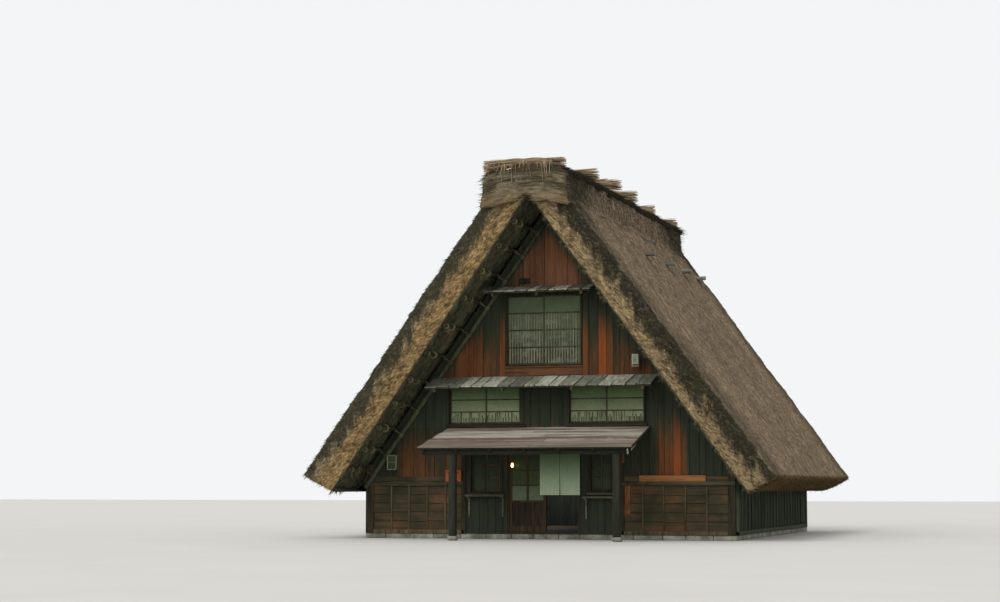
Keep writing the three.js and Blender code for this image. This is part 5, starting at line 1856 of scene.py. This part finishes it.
def buildFloodLamp():
    low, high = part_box("flood_lamp")
    body, glass = newMesh(), newMesh()
    addBlock(body, (low.x, low.y, low.z + 0.02), (high.x, low.y + floodLamp["depth"], high.z), 0.5, 0.012)
    yoke, out = floodLamp["yoke"], floodLamp["yokeOut"]
    front, back = [low.y + depth for depth in floodLamp["yokeDepth"]]
    for x in (low.x - out, high.x + out - yoke):
        addBlock(body, (x, front, low.z - 0.02), (x + yoke, back, high.z - 0.1), 0.5, 0.002)
    addBlock(body, (low.x - out, front, low.z - 0.03), (high.x + out, back, low.z - 0.03 + yoke), 0.5, 0.002)
    middle = (low + high) / 2
    wide, tall = floodLamp["arm"]
    addBlock(body, (middle.x - wide, low.y + 0.08, middle.z - tall),
             (middle.x + wide, high.y, middle.z + tall), 0.5, 0.006)
    addBlock(glass, (low.x + 0.03, low.y - 0.003, low.z + 0.06),
             (high.x - 0.045, low.y + 0.004, high.z - 0.03))
    grey = enamelFinish("lampGrey", rgb(164, 158, 140), rgb(112, 106, 92), 0.4)
    pane = paneFinish("floodGlass", rgb(104, 124, 106), rgb(130, 142, 120), low.z, high.z)
    makePiece("floodLamp", body, grey, ["flood_lamp"])
    makePiece("floodLampGlass", glass, pane)


bulb = {  # radius and height of the turned shapes
    "glass": [(0.0, 0.0), (0.019, 0.006), (0.031, 0.026), (0.034, 0.05),
              (0.028, 0.078), (0.018, 0.1), (0.016, 0.112), (0.0, 0.112)],
    "socket": [(0.0, 0.108), (0.02, 0.108), (0.021, 0.16), (0.014, 0.17), (0.0, 0.17)],
    "wire": 0.005, "arm": 0.012, "out": 0.052,
}


def buildBulb():
    low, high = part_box("entrance_lamp")
    x, y = (low.x + high.x) / 2, low.y + bulb["out"]
    place = Matrix.Translation((x, y, low.z))
    glass, holder = newMesh(), newMesh()
    addLathe(glass, bulb["glass"], place, 24)
    addLathe(holder, bulb["socket"], place, 20)
    addPole(holder, (x, y, low.z + 0.165), (x, y, high.z - 0.03), bulb["wire"],
            bend=0.0, steps=1, taper=1.0, sides=8)
    half = bulb["arm"]
    addBlock(holder, (x - half, y - half, high.z - 0.04), (x + half, wallFront, high.z - 0.016), 0.5, 0.003)
    makePiece("lampBulb", glass, bulbFinish("warmBulb"), ["entrance_lamp"], smooth=True)
    makePiece("lampHolder", holder, ironFinish("holderIron"))


def buildLamps():
    buildLantern()
    buildFloodLamp()
    buildBulb()
    print("lamps made")


# Camera, light and floor

camera = {
    "place": (13.781, -52.167, 1.30), "turn": (95.285, 0.0, 17.544), "lens": 72.0, "sensor": 36, "far": 500,
}
light = {
    "sky": (0.95, 0.96, 0.97), "skyStrength": 0.95,
    "sunStrength": 1.3, "sunTurn": (48, 0, -28), "sunAngle": 40,
    "hall": 60.0, "hallPlace": (-2.5, 4.2, 1.5), "hallSize": 0.3,
}
floor = {"size": 120, "dark": rgb(196, 194, 188), "pale": rgb(206, 204, 198)}


def addLamp(name, kind, strength):
    lamp = bpy.data.lights.new(name, kind)
    lamp.energy = strength
    return lamp, looseObject(name, lamp)


def setStage():
    scene = bpy.context.scene
    eye = bpy.data.cameras.new("camera")
    eye.lens = camera["lens"]
    eye.sensor_width = camera["sensor"]
    eye.clip_end = camera["far"]
    scene.camera = looseObject("camera", eye)
    scene.camera.location = camera["place"]
    scene.camera.rotation_euler = [math.radians(angle) for angle in camera["turn"]]
    sun, sunObject = addLamp("sun", "SUN", light["sunStrength"])
    sun.angle = math.radians(light["sunAngle"])
    sunObject.rotation_euler = [math.radians(angle) for angle in light["sunTurn"]]
    hall, hallObject = addLamp("hall", "POINT", light["hall"])  # a little light in the rooms
    hall.shadow_soft_size = light["hallSize"]
    hallObject.location = light["hallPlace"]
    world = bpy.data.worlds.new("sky")
    world.use_nodes = True
    backdrop = world.node_tree.nodes["Background"]
    backdrop.inputs["Color"].default_value = (*light["sky"], 1)
    backdrop.inputs["Strength"].default_value = light["skyStrength"]
    scene.world = world
    scene.view_settings.view_transform = "Standard"
    bm = newMesh()
    bmesh.ops.create_grid(bm, x_segments=1, y_segments=1, size=floor["size"])
    ground = looseObject("floor", makeMesh("floor", bm))
    paint = Paint("paleFloor")
    cloud = paint.noise(3.0, detail=3)
    ground.data.materials.append(paint.finish(paint.mix(cloud, floor["dark"], floor["pale"]), 0.9))
    print("stage set")


buildThatch()
buildRidgeCap()
buildRolls()
buildTieRods()
buildRoofPoles()
buildFrontBoards()
buildBackBoards()
buildSideBoards()
dressWalls()
buildFooting()
buildWindows()
buildBoardRoofs()
buildPorchRoof()
buildPorchPosts()
buildEntrance()
buildShelves()
buildSigns()
buildLamps()
setStage()
